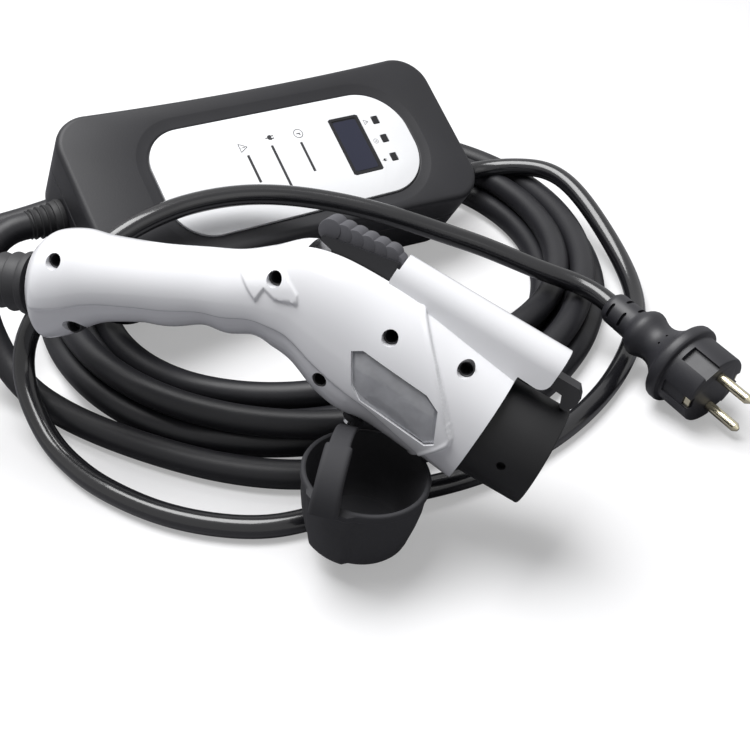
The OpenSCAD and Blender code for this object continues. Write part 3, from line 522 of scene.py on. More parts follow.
def stacked(outline_of, steps):
    """Rings from a function that gives an outline. Each step is what it is called with, and the height."""
    return [level(outline_of(amount), z) for amount, z in steps]


def upright(outline, z0, z1):
    """A prism along z, with the same flat outline at both ends."""
    return np.stack([level(np.asarray(outline, float), z) for z in (z0, z1)])


def rounded_edge(outline_of, radius, z0, z1, steps=7):
    """Rings round an edge: inset = r * (1 - cos a), height going from z0 to z1 with sin a."""
    a = np.linspace(0, np.pi / 2, steps)
    return [level(outline_of(radius * (1 - np.cos(t))), z0 + (z1 - z0) * np.sin(t)) for t in a]


# %% [markdown]
# Both halves are hollow. Each stack of rings starts inside, under the roof or
# over the floor, runs along the inner wall to the seal, and comes back along
# the outer wall. The seal shows in a groove, because both halves draw in by
# half a millimetre there.

# %% Case
WALL, DRAWN_IN = 2.8, 0.5
ROOF, SEAL_TOP, SEAL_LOW, INNER_FLOOR, BOTTOM = -4.4, -20.2, -21, -49.7, -52.5

cover_rings = stacked(case_outline, [(WALL, ROOF), (WALL, SEAL_TOP), (DRAWN_IN, SEAL_TOP), (0, -19.7), (0, -12)])
cover_rings += rounded_edge(case_outline, 3.2, -3.4, 0)
# A flat rim, a shallow slope down to the plate, and a step that the plate lies on.
cover_rings += stacked(seen_from_plate, [(7.2, 0), (6.6, -0.12), (1.8, -1.25)])
cover_rings += stacked(seen_from_plate, [(1.2, -1.3), (0.9, -1.5), (0.9, -2)])
case_cover = shell("case_cover", cover_rings, "box")
finish_piece(case_cover, "case_black", stands_for=("box_cover",))

lower_rings = stacked(case_outline, [(WALL, INNER_FLOOR), (WALL, SEAL_LOW), (DRAWN_IN, SEAL_LOW)])
lower_rings += stacked(case_outline, [(0, -21.5), (0, -36)]) + rounded_edge(case_outline, 2.4, -50.1, BOTTOM)
case_lower = shell("case_lower", lower_rings, "box")
for corner in [(x, y) for x in (-96, 96) for y in (-32.5, 32.5)]:
    # A counterbore for each of the four long screws.
    combine(case_lower, shell("well", upright(circle(3.6, 24, corner), BOTTOM - 1.5, -50.4), "box"))
finish_piece(case_lower, "case_black", stands_for=("box_base",))

# %% [markdown]
# The white front plate is a thin sheet with its edge just rounded. It has one
# opening for the display and three small square ones for the lamps, cut so
# that their corners are as tight as on the real plate.

# %% Front plate
LCD_AT = np.array([45.6, -1.5])
LAMPS_AT = [np.array([64.6, -1.5 + k * 12.2]) for k in (-1, 0, 1)]

plate_rings = stacked(plate_outline, [(0, -2), (0, -0.8)])
plate_rings += rounded_edge(lambda inset: plate_outline(-inset), 0.35, -0.75, -0.4, 4)
front_plate = shell("front_plate", plate_rings, "box")
openings = [LCD_AT + round_box(19.2, 36.2, 0.8, 0.8, 60)]
openings += [at + round_box(4.4, 5.2, 0.5, 0.5, 40) for at in LAMPS_AT]
for opening in openings:
    combine(front_plate, shell("cut", upright(opening, -5, 3), "box"))
finish_piece(front_plate, "plate_white", stands_for=("faceplate",))

# %% [markdown]
# The display is a small polished panel, sunk in a dark frame of its own, and
# each lamp shines through a smoked lens. All of them are panes: a rounded
# rectangle with a bevelled edge, which catches a thin line of light.

# %% Display and lamps
def pane(size, corner, at, low, high, bevel, sunk=0.0, rim=0.0):
    """A rounded pane with a bevelled edge; with a rim, its middle is sunk."""
    ring = lambda inset: at + round_box(size[0] - 2 * inset, size[1] - 2 * inset, corner, corner, 60)
    rings = stacked(ring, [(0, low), (0, high - bevel), (bevel, high)])
    return rings + (stacked(ring, [(rim, high), (rim + 0.4, high - sunk)]) if rim else [])


display_frame = shell("display_frame", pane((19, 36), 0.7, LCD_AT, -2, -0.25, 0.25, 0.5, 1.5), "box")
finish_piece(display_frame, "lamp_dark", stands_for=("lcd_window",))
display_panel = shell("display_panel", pane((14.6, 31.6), 0.6, LCD_AT, -1.4, -0.6, 0.15), "box")
finish_piece(display_panel, "display_dark", stands_for=("lcd_window",))
lamp_lenses = joined("lamp_lenses", [pane((4.2, 5), 0.4, at, -4.4, -0.25, 0.4) for at in LAMPS_AT], "box")
finish_piece(lamp_lenses, "lamp_dark", stands_for=("lamp_windows",))

# %% [markdown]
# The plate is printed with small plain symbols and bars. A picture laid on the
# plate is the usual way. Thin strokes of mesh, each a hair above the plate,
# need no picture and keep their edges sharp from close by.

# %% Print on the plate
PRINT_Z = (-0.42, -0.36)  # from just inside the plate to a hair above it


def stroke(points, width, closed=False):
    """A thin line of ink along flat points: at each one a small section, half the width to both sides."""
    p = np.asarray(points, float)
    ahead = np.roll(p, -1, 0) - np.roll(p, 1, 0) if closed else np.gradient(p, axis=0)
    aside = np.stack([-ahead[:, 1], ahead[:, 0]], 1) / np.hypot(*ahead.T)[:, None] * width / 2
    low, high = PRINT_Z
    section = ((-1, low), (1, low), (1, high), (-1, high))
    return np.stack([level(p + way * aside, z) for way, z in section], 1)


def symbol(kind, x, y, size):
    """A ring with a bar, a plug, or a triangle with a bar and a dot, as (rings, looped). A symbol is drawn one
    unit tall, and its own right is the plate's -y."""
    place = lambda uv: np.array([x, y]) + size * np.array([[v, -u] for u, v in uv])
    line = lambda width, *uv: (stroke(place(uv), width * size), False)
    if kind == "ring":
        return [(stroke(place(circle(0.5, 24)), 0.07 * size, True), True),
                line(0.1, (0, 0.22), (0, 0), (0, -0.22)), line(0.07, (0, 0), (0.12, 0.1), (0.2, 0.2))]
    if kind == "triangle":
        side = np.array([(-0.5, -0.42), (0.5, -0.42), (0, 0.46), (-0.5, -0.42)])
        dot = upright(place(circle(0.05, 8, (0, -0.27))), *PRINT_Z)
        return [line(0.07, *np.linspace(side[i], side[i + 1], 3)) for i in range(3)] + [
            line(0.08, (0, 0.18), (0, 0), (0, -0.12)), (dot, False)]
    body = np.vstack([arc(0, -0.05, 0.3, 180, 360, 14), [(0.3, 0.12), (-0.3, 0.12)]])
    prongs = [line(0.12, (u, 0.1), (u, 0.25), (u, 0.4)) for u in (-0.15, 0.15)]
    return [(upright(place(body), *PRINT_Z), False)] + prongs + [line(0.1, (0, -0.3), (0, -0.45), (0.05, -0.6))]


inked = symbol("ring", 15.8, 12.3, 5.2) + symbol("plug", -0.8, 13.4, 5) + symbol("triangle", -18, 10.8, 5)
inked += symbol("triangle", 58.4, 10.6, 3) + symbol("ring", 58.6, -2.1, 2.8) + symbol("plug", 58.3, -14.4, 2.8)
for x, y0, y1 in ((15, 6.9, -11.5), (-2, 8.6, -19), (-17.4, 5.9, -10.9)):
    inked.append((stroke([(x, y0), (x, (y0 + y1) / 2), (x, y1)], 1.5), False))
plate_print = joined("plate_print", [rings for rings, _ in inked], "box", looped=[loop for _, loop in inked])
finish_piece(plate_print, "print_black")

# %% [markdown]
# The connector's housing is moulded in two glossy halves and held like a fuel
# nozzle. Sculpting it would be hard to repeat to the millimetre, so it is a
# loft: fourteen rows of numbers give the top point, the bottom
# point and the half width of its section, and a spline runs through them. Each
# section is a rounded box, |across|^p + |up|^p = 1. Finger ripples press in the
# underside, and below a ledge line the wall steps in, as on the real grip.

# %% The housing as a surface
ROWS = np.array([
    [-225, -45, -208, -78, 17], [-221.5, -37, -203, -80.5, 21.3], [-212, -30, -196, -74.8, 21.5],
    [-200, -25.6, -185, -60.5, 19.5], [-180, -16.2, -168, -48.5, 17.6], [-162, -6, -150, -38, 17],
    [-149, 1.6, -138, -31.5, 17.4], [-138, 11, -124, -26, 18.4], [-127, 21.6, -108, -25, 20],
    [-112, 27, -92, -30, 22], [-92, 29, -80, -31.2, 23.5], [-72, 29, -68, -28.6, 25],
    [-50, 27, -50, -28.6, 26], [-27.5, 25, -27.5, -29.6, 26.8]])
LAST_ROW = len(ROWS) - 1
# Where the ledge runs, as (row number, height in the section from -1 to 1).
LEDGE = np.array([[0, -0.2], [2, -0.3], [4, -0.4], [6, -0.42], [8, -0.42], [9, -0.45], [10, -0.5],
                  [11, -0.6], [13, -0.8]])
LEDGE_DEPTH, LEDGE_SOFT = 0.8, 2.2  # mm that the wall steps in, over so many degrees to each side
PROUD = 0.3  # mm that the wall stands outside the rows
HALF_COLUMNS = 90


def row_at(u):
    """Catmull-Rom spline through ROWS at the row numbers u, which runs on straight past the last row."""
    i = np.clip(u.astype(int), 0, LAST_ROW - 1)
    t = np.minimum(u - i, 1)[:, None]
    past = np.maximum(u - LAST_ROW, 0)[:, None] * (ROWS[-1] - ROWS[-2])
    a, b, c, d = (ROWS[np.clip(i + k, 0, LAST_ROW)] for k in (-1, 0, 1, 2))
    curve = 2 * b + (c - a) * t + (2 * a - 5 * b + 4 * c - d) * t ** 2 + (3 * b - 3 * c + d - a) * t ** 3
    return 0.5 * curve + past


def mid_and_half(row):
    """Middle of each section in side view, and the way from there to its top point."""
    return (row[:, :2] + row[:, 2:4]) / 2, (row[:, :2] - row[:, 2:4]) / 2


def smooth_step(x):
    """Rises from 0 to 1 as 3 x^2 - 2 x^3."""
    x = np.clip(x, 0, 1)
    return x * x * (3 - 2 * x)


def signed_power(x, p):
    """The size of x to the power p, with the sign of x."""
    return np.sign(x) * np.abs(x) ** p


def squareness(u):
    """The power p of a section: 2.05 at the grip, and 2.35 from the ninth row on."""
    return 2.05 + 0.3 * smooth_step((u - 5.5) / 3.5)


# %% [markdown]
# The shield has a ridge on each side: in front of it the wall is lower, and
# its crest stands out a little. A W-shaped tongue stands out from the grip
# round one screw. Both follow outlines in side view, so how deep a point lies
# inside an outline tells how much lower the wall is there.

# %% Ridge and tongue
FRONT = np.array([(-80, 50), (-74, 29.6), (-66, 23.6), (-56.3, 15.5), (-46.6, 6.3), (-35.4, -6), (-34.8, -8.6),
                  (-37.4, -13.8), (-40.1, -18.5), (-47, -31), (0, -45), (0, 50)])
TONGUE = np.array([(-147, 3), (-141.1, -1.3), (-135.5, -3.9), (-130.3, -5.8), (-129.5, 0.2), (-123.6, -0.6),
                   (-114.6, 3.4), (-116.5, 6.4), (-121.6, 8.6), (-126.8, 11.3), (-134, 14), (-148, 10)])
FRONT_DROP, CREST, TONGUE_RISE = 1.4, 0.45, 1.0


def depth_inside(outline, x, z):
    """Distance to an outline, positive inside it and negative outside."""
    p = np.stack([x, z], -1)[..., None, :]
    a, b = outline, np.roll(outline, -1, 0)
    t = np.clip(((p - a) * (b - a)).sum(-1) / ((b - a) ** 2).sum(-1), 0, 1)
    near = np.linalg.norm(p - a - t[..., None] * (b - a), axis=-1).min(-1)
    rise = np.where(b[:, 1] == a[:, 1], 1e-9, b[:, 1] - a[:, 1])
    meet = a[:, 0] + (z[..., None] - a[:, 1]) * (b[:, 0] - a[:, 0]) / rise
    over = (a[:, 1] > z[..., None]) != (b[:, 1] > z[..., None])
    return near * np.where((over & (x[..., None] < meet)).sum(-1) % 2 == 1, 1, -1)


def relief(x, z):
    """How much lower the wall is than the plain loft: a step down in front of the ridge, less a bell curve on
    its crest, less the tongue, which fades out upwards."""
    above = (x + 130) * -0.49 + (z + 5.6) * 0.87
    tongue = smooth_step(depth_inside(TONGUE, x, z) + 0.5) * (1 - smooth_step((above - 5) / 9))
    edge = depth_inside(FRONT, x, z)
    crest = np.exp(-((edge + 1.0) / 0.8) ** 2)
    return FRONT_DROP * smooth_step((edge + 0.55) / 1.1) - CREST * crest - TONGUE_RISE * tongue


def grip_rings(u):
    """Sections at row numbers u. A point is mid + up * h * sin(a)^k + across * w * cos(a)^k, with k = 2 / p,
    and h and w are less by the ledge and the relief. Below the middle, two waves are the finger ripples."""
    row = row_at(u)
    mid, half = mid_and_half(row)
    height = np.linalg.norm(half, axis=1)
    up = half / height[:, None]
    p = squareness(u)
    edge = -np.degrees(np.arcsin(np.abs(np.interp(u, *LEDGE.T)) ** (p / 2)))
    # Columns crowd round the ledge, which is at a different angle in each section.
    column, steps = np.arange(HALF_COLUMNS), [0, 12, 18, HALF_COLUMNS]
    a = np.stack([np.interp(column, steps, [-90, e - LEDGE_SOFT, e + LEDGE_SOFT, 90]) for e in edge])
    a = np.radians(np.hstack([a, 180 - a[:, ::-1][:, :-1]]))
    above = np.degrees(np.arcsin(np.sin(a))) - edge[:, None]
    step = 1 - smooth_step((above + LEDGE_SOFT) / (2 * LEDGE_SOFT))
    fade = smooth_step((u[:, None] - 0.4) / 1.2)
    s, c = signed_power(np.sin(a), 2 / p[:, None]), signed_power(np.cos(a), 2 / p[:, None])
    at = mid[:, None] + half[:, None] * s[..., None]
    inner = LEDGE_DEPTH * step * fade - PROUD + relief(at[..., 0], at[..., 1])
    ripple = np.where((u > 4) & (u < 7.5), 1.1 * np.sin(4 * np.pi * (u - 4) / 3.5), 0)[:, None]
    lift = (height[:, None] - inner) * s + np.where(s < 0, ripple * s, 0)
    xz = mid[:, None] + up[:, None] * lift[..., None]
    return np.stack([xz[..., 0], (row[:, 4:5] - inner) * c, xz[..., 1]], -1)


def gun_side(x, z):
    """Distance y from the middle plane to the plain wall at side-view points (x, z). The nearest of 900 sections
    is found first; there y = w * (1 - |s|^p)^(1 / p), with s the height in the section."""
    u = np.linspace(0, LAST_ROW, 900)
    row = row_at(u)
    mid, half = mid_and_half(row)
    away = np.stack([np.ravel(x), np.ravel(z)], 1)[:, None] - mid
    miss = np.abs(half[:, 0] * away[..., 1] - half[:, 1] * away[..., 0]) / np.hypot(*half.T)
    k = miss.argmin(1)
    s = (away[np.arange(len(k)), k] * half[k]).sum(1) / (half[k] ** 2).sum(1)
    p = squareness(u[k])
    return (row[k, 4] * (1 - np.abs(np.clip(s, -0.97, 0.97)) ** p) ** (1 / p)).reshape(np.shape(x))


def across(outline, y):
    """A side-view outline (x, z) at a distance y from the middle plane, one for all its points or one each."""
    p = np.asarray(outline, float)
    return np.column_stack([p[:, 0], np.broadcast_to(y, len(p)), p[:, 1]])


def slab(outline, y0, y1):
    """A prism across the connector, from a side-view outline."""
    return np.stack([across(outline, y) for y in (y0, y1)])


def block(x0, x1, y0, y1, z0, z1):
    """A plain box between two x, two y and two z."""
    return slab([(x0, z0), (x1, z0), (x1, z1), (x0, z1)], y0, y1)


# %% [markdown]
# A raised hood covers the lever of the latch and ends in front over its hook.
# Its back and its lower edge follow a side-view outline, so it is made too
# long first, and only what lies inside that outline is kept.

# %% Hood over the latch
HOOD_R, HOOD_LOW, HOOD_CLIMB = 9.5, -26, -2.8
HOOD_AT = [-90, 0, 39.6]
HOOD_SIDE = np.vstack([[(-90, 18), (-27.5, 18), (-27.5, 25.2)], arc(-20, 30.2, 5, -90, 0, 12),
                       [(-15, 39), (-15, 50), (-90, 50)]])


def hood_rings(inset, x0, x1, round_front=0.0):
    """The hood's section is a half circle over straight sides, and it climbs 2.8 degrees. Over the last r mm it
    draws in by r - sqrt(r^2 - d^2), so that its front edge is round."""
    start = x1 - round_front
    front = start + round_front * np.sin(np.linspace(0.2, np.pi / 2, 6)) if round_front else []
    side = np.linspace(-HOOD_R, HOOD_LOW, 8)[1:, None] * [0, 1]
    rings = []
    for x in np.unique(np.round(np.concatenate([np.linspace(x0, start, 12), front]), 4)):
        drawn_in = round_front - math.sqrt(max(round_front ** 2 - max(x - start, 0) ** 2, 0))
        r = HOOD_R - inset - drawn_in
        yz = np.vstack([arc(0, -HOOD_R, r, 0, 180, 33), side - [r, 0], side[::-1] + [r, 0]])
        rings.append(np.insert(yz, 0, x, axis=1))
    return np.array(rings) @ turned(0, HOOD_CLIMB, 0).T + HOOD_AT


hood = shell("hood", hood_rings(0, -2, 76.2, 1.6), "gun")
combine(hood, shell("side", slab(HOOD_SIDE, -20, 20), "gun"), "INTERSECT")
print("hood", len(hood.data.polygons), "faces")

# %% [markdown]
# The hood is joined to the loft, and then everything that the real halves
# leave open is cut out: the hollow of the hood, the channel of the lever, the
# trough of the button, the seats of the nose and of the boot, the two windows
# and the screw wells on the near side. Last, a slab on either side of the
# middle plane parts the two halves, so that a hairline shows between them.

# %% Housing with its cuts
SCREWS = [(-211, -41.5), (-193.5, -64.8), (-128, 6), (-92, -19), (-77, 14), (-46, 19)]
WINDOW = np.array([(-87, 1), (-83, 4), (-53, 4), (-46, 1), (-40, -12), (-43, -15), (-74, -15), (-80, -11)])
WELL_R, WINDOW_SEAT = 3.3, 21.8
NOSE_TURN = turned(0, -4, 0)
BOOT_TURN, BOOT_AT = turned(0, -118, 0), (-219, 0, -63.2)


def lathe(profile, n=72):
    """Rings of n points: (r cos a, r sin a, z) for each (z, r) of the profile."""
    return np.stack([level(circle(r, n), z) for z, r in profile])


# The sections lie closer together where the tongue, the ridge and the shield are.
fine_rows = np.concatenate([np.linspace(0, 5.6, 60), np.linspace(5.6, 8.8, 130)[1:],
                            np.linspace(8.8, 10.4, 24)[1:], np.linspace(10.4, 13, 170)[1:]])
housing = shell("housing", grip_rings(fine_rows), "gun", 40)
combine(housing, hood, "UNION", 40)
hood_hollow = hood_rings(2.2, -12, 90)
lever_channel = block(-90, -20, -5.8, 5.8, 24, 36)
button_trough = block(-124.5, -89, -8.4, 8.4, 13, 53)
nose_seat = np.stack([np.insert(circle(22.1, 64), 0, x, axis=1) for x in (-43.5, -13)]) @ NOSE_TURN.T
boot_seat = lathe([(-40, 10.2), (1.4, 10.2), (1.4, 14), (40, 14)], 48) @ BOOT_TURN.T + BOOT_AT
cuts = [hood_hollow, lever_channel, button_trough, nose_seat, boot_seat]
cuts += [slab(WINDOW, side * WINDOW_SEAT, side * 42) for side in (-1, 1)]
cuts += [slab(circle(WELL_R, 48, p), -40, -4) for p in SCREWS]
for cut in cuts:
    combine(housing, shell("cut", cut, "gun"), sharp=40)
far_half = housing.copy()
far_half.data = housing.data.copy()
bpy.context.scene.collection.objects.link(far_half)
for half, y0, y1, name, node in ((housing, -0.06, 60, "connector_shell_near", "handle_near"),
                                 (far_half, -60, 0.06, "connector_shell_far", "handle_far")):
    combine(half, shell("cut", block(-260, 20, y0, y1, -120, 80), "gun"), sharp=40)
    half.name = name
    finish_piece(half, "handle_white", stands_for=(node,))

# %% [markdown]
# The screw wells read as dark on the real housing, because they are deep and
# narrow. White walls would light each other up in there, so a dark sleeve
# stands in each well as painted shade, out of sight below the rim.

# %% Painted shade in the screw wells
def shade_sleeve(p):
    """A short dark tube in a well, painted shade from the screw head to 2.4 mm under the wall: (y, r) round the
    point p.
    """
    end = 2.4 - float(gun_side(*p))
    profile = ((-4.2, 2.6), (-4.2, WELL_R), (end + 0.3, WELL_R), (end, 3.1), (end, 2.8), (end + 0.2, 2.6))
    return np.stack([across(circle(r, 36, p), y) for y, r in profile])


shade_sleeves = joined("painted_shade_sleeves", [shade_sleeve(p) for p in SCREWS], "gun", 40, looped=[True] * len(SCREWS))
finish_piece(shade_sleeves, "switch_black")

# %% [markdown]
# A grey pane is let into the shield on each side. A flat pane would stick out
# of the curved wall at its ends, so its points take the wall's own distance
# from the middle plane and lie a millimetre under it.

# %% Windows in the shield
PANE_DEPTH = 1.0


def window_rings(side):
    """A pane that follows the wall: a low back, a bevelled rim, and a face drawn in towards its middle."""
    line = np.vstack([np.linspace(WINDOW[i], WINDOW[(i + 1) % 8], 12, endpoint=False) for i in range(8)])
    middle = line.mean(0)
    size = np.linalg.norm(line - middle, axis=1).mean()
    back, rim = (line + (middle - line) * (shrink / size) for shrink in (0.3, 1.5))
    rings = [across(back, side * 21.9), across(back, side * (gun_side(*back.T) - 1.7))]
    for scale in (1, 0.75, 0.5, 0.25, 0.05):
        p = middle + (rim - middle) * scale
        rings.append(across(p, side * (gun_side(*p.T) - PANE_DEPTH)))
    return np.stack(rings)


for side, name, node in ((-1, "window_pane_near", "window_near"), (1, "window_pane_far", "window_far")):
    finish_piece(shell(name, window_rings(side), "gun", 20), "window_grey", stands_for=(node,))

# %% [markdown]
# The nose, the rubber boot and the cable glands are round, so they are turned:
# a profile of (distance along, radius) is carried round an axis. A Screw
# modifier does the same, but an array needs no hidden curve. Their places are
# given inside the place of the box or of the connector.

# %% Places of the turned pieces
def inside(place, turn, at=(0, 0, 0)):
    """A place inside another place: its turn comes first, then the outer one."""
    outer, shift = PLACES[place]
    return (outer @ turn, outer @ np.array(at, float) + shift)


PLACES["nose"] = inside("gun", NOSE_TURN @ turned(0, 90, 0))
PLACES["boot"] = inside("gun", BOOT_TURN, BOOT_AT)
PLACES["ev_exit"] = inside("box", turned(0, -90, 0), (-111, 12, -34.2))
PLACES["mains_exit"] = inside("box", turned(0, 90, 0), (111, -18, -34.2))


def fillet(z0, r0, z1, r1, steps=5):
    """Quarter of an ellipse from (z0, r0) to (z1, r1), first along z."""
    a = np.linspace(0, np.pi / 2, steps)
    return [(z0 + (z1 - z0) * math.sin(t), r1 + (r0 - r1) * math.cos(t)) for t in a]


def drill(way, z, r, near, far, n):
    """A round rod that points straight out from a place's axis, at a height z: way * distance, then
    r sin a aside and r cos a along."""
    ring = circle(r, n)
    aside = np.array([-way[1], way[0]]) * ring[:, 1:]
    return np.stack([np.column_stack([np.array(way) * d + aside, z + ring[:, 0]]) for d in (near, far)])


# %% Nose, boot and glands
nose_profile = [(-36, 18.9), (-36, 22.6), (-33.2, 22.6), (-33, 21.9), (-12, 21.9)] + fillet(-0.8, 21.9, 0, 21.1)
nose_profile += [(0, 19.5), (-0.2, 19.1), (-0.7, 18.9), (-12, 18.9)]
nose_shroud = shell("nose_shroud", lathe(nose_profile, 96), "nose", 40, looped=True)
# The drain hole is low on the near side.
combine(nose_shroud, shell("drain", drill((0.191, -0.982), -14, 1.9, 10, 30, 24), "nose"), sharp=40)
finish_piece(nose_shroud, "nose_black", stands_for=("nose_collar",))

boot = [(-15, 7.8), (-15, 10), (1.5, 10), (1.7, 13.6), (2.3, 13.8)]
for i in range(7):
    # Seven ribs, 6.4 mm apart, each 0.75 mm thinner than the last.
    z, r = 5 + 6.4 * i, 13.8 - 0.75 * i
    boot += fillet(z - 0.7, r, z, r - 0.6, 4) + [(z + 0.6, r - 1.7), (z + 2.2, r - 1.7)]
boot += [(49, 9.2), (55, 8.6)] + fillet(59.2, 8.2, 60, 7.2)
cable_boot = shell("ribbed_boot", lathe(boot), "boot", 40)
finish_piece(cable_boot, "boot_rubber", stands_for=("cable_boot",))


def gland_profile(r, end, ribs, length):
    """A shoulder, then ribs that get thinner towards the cable."""
    out = [(-5.8, r + 1.4), (-3, r + 1.4), (-2.9, r), (0.2, r), (0.3, r + 1.3)] + fillet(2.4, r + 1.6, 3, r + 1)
    step = (length - 4.4) / ribs
    for i in range(ribs):
        z, top = 3.6 + step * i, r + 0.9 - (r + 0.9 - end) * i / ribs
        out += fillet(z + step * 0.55, top, z + step * 0.66, top - 0.5, 4)
        out += [(z + step * 0.7, top - 1.2), (z + step * 0.96, top - 1.2)]
    return out + [(length - 0.4, end)] + fillet(length - 0.3, end - 0.1, length, end - 0.6, 3)


ev_relief = shell("ev_relief", lathe(gland_profile(8.2, 7.4, 4, 18)), "ev_exit", 40)
finish_piece(ev_relief, "gland_rubber", stands_for=("ev_gland",))
mains_relief = shell("mains_relief", lathe(gland_profile(8.2, 5.9, 5, 22)), "mains_exit", 40)
finish_piece(mains_relief, "gland_rubber", stands_for=("mains_gland",))

# %% [markdown]
# The mains plug is one soft moulding: a slotted tail that bends with the lead,
# a waist, a wide round knob and the face with its pins. The body is turned, and
# the slots, the guide grooves and the seats of the earth clips are cut. The
# pins and clips are the solid part's own.

# %% Body of the plug
plug_profile = [(-50, 5.3), (-49.8, 6.6), (-48.4, 7.9), (-46.6, 8.35), (-40, 8.5), (-33, 8.6), (-31.4, 9.0),
                (-29.4, 11), (-28.2, 11.9), (-26.6, 12.5), (-25.2, 12.6), (-23.4, 12.2), (-21.6, 11.4),
                (-19.6, 10.7), (-17.4, 10.4), (-15, 10.6), (-12.6, 11.5), (-10.4, 12.9), (-8.2, 14.8), (-6.4, 17),
                (-5.2, 19), (-4.4, 20.3), (-3.6, 21), (-2.6, 21.3), (0.2, 21.3), (1, 21), (1.5, 20.3),
                (1.6, 18.9), (1.9, 18.5), (19, 18.5), (19.7, 18.2), (20, 17.6)]
plug_shell = shell("plug_shell", lathe(plug_profile, 96), "plug", 36)
SLOT_HEIGHT = 1.7


def slot_rings(a0, a1, z):
    """A slot round the tail, from angle a0 to a1. Its half height is height / 2 * sqrt(1.02 - t^10), with t from
    -1 to 1, so that its ends are round."""
    rings = []
    for t in np.linspace(-1, 1, 15):
        a, h = math.radians((a0 + a1) / 2 + (a1 - a0) / 2 * t), SLOT_HEIGHT / 2 * math.sqrt(1.02 - t ** 10)
        section = ((6.6, -1), (12, -1), (12, 1), (6.6, 1))
        rings.append([(r * math.cos(a), r * math.sin(a), z + side * h) for r, side in section])
    return np.array(rings)


# %% Slots, grooves and holes of the plug
def oblong(half_width, near, far):
    """An outline between two distances y from the middle."""
    return np.array([(-half_width, near), (half_width, near), (half_width, far), (-half_width, far)])


cuts = []
for side in (-1, 1):
    # Guide grooves on two sides. The earth clips lie under a shallow seat and show only at its front end.
    groove = side * oblong(4.4, 15.8, 24)[:, ::-1]
    cuts.append(upright(groove @ turned(0, 0, 26)[:2, :2].T, 4.6, 24))
    cuts.append(upright(side * oblong(3.6, 17.5, 24), 4, 24))
    cuts.append(upright(side * oblong(2.9, 14.4, 24), 16, 24))
for k, z in enumerate((-45, -41, -37, -33)):
    cuts += [slot_rings(a, a + 62, z) for a in ((-148, 32) if k % 2 == 0 else (-238, -58))]
for angle in (-164, -139):
    # Two tiny moulding holes on the knob.
    cuts.append(drill((math.cos(math.radians(angle)), math.sin(math.radians(angle))), -12, 0.6, 9.6, 18, 12))
for cut in cuts:
    combine(plug_shell, shell("cut", cut, "plug"), sharp=36)
finish_piece(plug_shell, "plug_black", stands_for=("plug_body",))

# %% [markdown]
# The dust cap is soft rubber: a cup with a lip, a thick tab that folds over
# the rim, and a thin strap from the tab up to a ring on a stud under the
# connector. Cup, tab, strap and ring swing as one piece, so they are one object
# of several closed forms, which need no seams between them.

# %% Cup of the dust cap
cup_profile = [(-33.3, 0.6), (-33.3, 18.6), (-33.1, 19.8), (-32.4, 20.9), (-31.3, 21.7), (-29.8, 22.2),
               (-20, 24.4), (-13, 25.5), (-4.6, 25.9), (-3.9, 26.2), (-3.4, 26.7), (-1, 26.8), (-0.3, 26.5),
               (0, 26), (0, 25.2), (-0.3, 24.7), (-0.9, 24.5), (-14, 22.9), (-24, 20.9), (-29, 19.6),
               (-30.6, 18.2), (-30.6, 0.6)]
cup = lathe(cup_profile, 120)
# Under the tab the outer wall, rows 2 to 11, is 1.7 mm thicker over 40 degrees, and 7 more to each side.
TAB_ANGLE, TAB_THICKER = -126, 1.7
outer = np.isin(np.arange(len(cup)), range(2, 12))[:, None]
angle = np.degrees(np.arctan2(cup[..., 1], cup[..., 0]))
thicker = TAB_THICKER * outer * smooth_step((27 - np.abs(angle - TAB_ANGLE)) / 7)
cup[..., :2] *= (1 + thicker / np.hypot(cup[..., 0], cup[..., 1]))[..., None]

# %% Tab, strap and ring
PLACES["strap"] = inside("cap", turned(0, 0, -11), (-11.6, 0, 0))


def band(path, width, thick, corner, ends=0.6):
    """A rubber band along a path (y, z): rounded sections square to it, pinched a little at both ends."""
    p = rounded_route([(0, y, z) for y, z in path], 0.8)[0]
    ahead = np.gradient(p, axis=0)
    ahead /= np.linalg.norm(ahead, axis=1)[:, None]
    rings = []
    widths = np.interp(np.linspace(0, 1, len(p)), np.linspace(0, 1, len(width)), width)
    for k, (at, way) in enumerate(zip(p, ahead)):
        near = min(k, len(p) - 1 - k) * 0.8
        pinch = ends * (1 - math.sqrt(1 - (1 - min(near / ends, 1)) ** 2))
        s = round_box(widths[k] - 2 * pinch, thick - 2 * pinch, corner, corner, 36)
        rings.append(at + s[:, :1] * [1, 0, 0] + s[:, 1:] * np.array([0, -way[2], way[1]]))
    return np.array(rings)


tab = band([(-26.2, -1.8), (-26.1, 1.5), (-25.3, 5), (-23.7, 8.6), (-20.4, 12.6), (-15.4, 15.8), (-10.4, 17.4),
            (-8, 17.4)], [12.2, 11.6, 11, 11, 11, 11], 5.2, 1.4, 1.2)
strap = band([(-19, 13.6), (-15, 16), (-11, 17.6), (-3, 18.4), (6, 15.6), (14, 10.2), (20.5, 4.8)],
             [8.8, 8], 2.2, 0.8)
eye = lathe([(-1.5, 1.8), (-1.5, 4.4), (-1.1, 4.8), (1.1, 4.8), (1.5, 4.4), (1.5, 1.8)], 48) + [-73, 0, -32.2]
link = tube_rings(np.linspace(moved([0.8, 19.5, 5.4], "strap"), moved([-71.5, -3.6, -32.3], "gun"), 5), 1.4, 16)
cap_parts = [moved(cup, "cap"), moved(tab, "strap"), moved(strap, "strap"), moved(eye, "gun"), link]
dust_cap = joined("dust_cap_rubber", cap_parts, "table", 40, looped=[False, False, False, True, False])
finish_piece(dust_cap, "cap_rubber", "cap", stands_for=("dust_cap",))

# %% [markdown]
# The thumb button is a pad of seven round ribs, wider at the back. The ribs
# are discs that overlap, so that the hollows between them stay crisp. It rides
# on the latch, and so goes down with it.

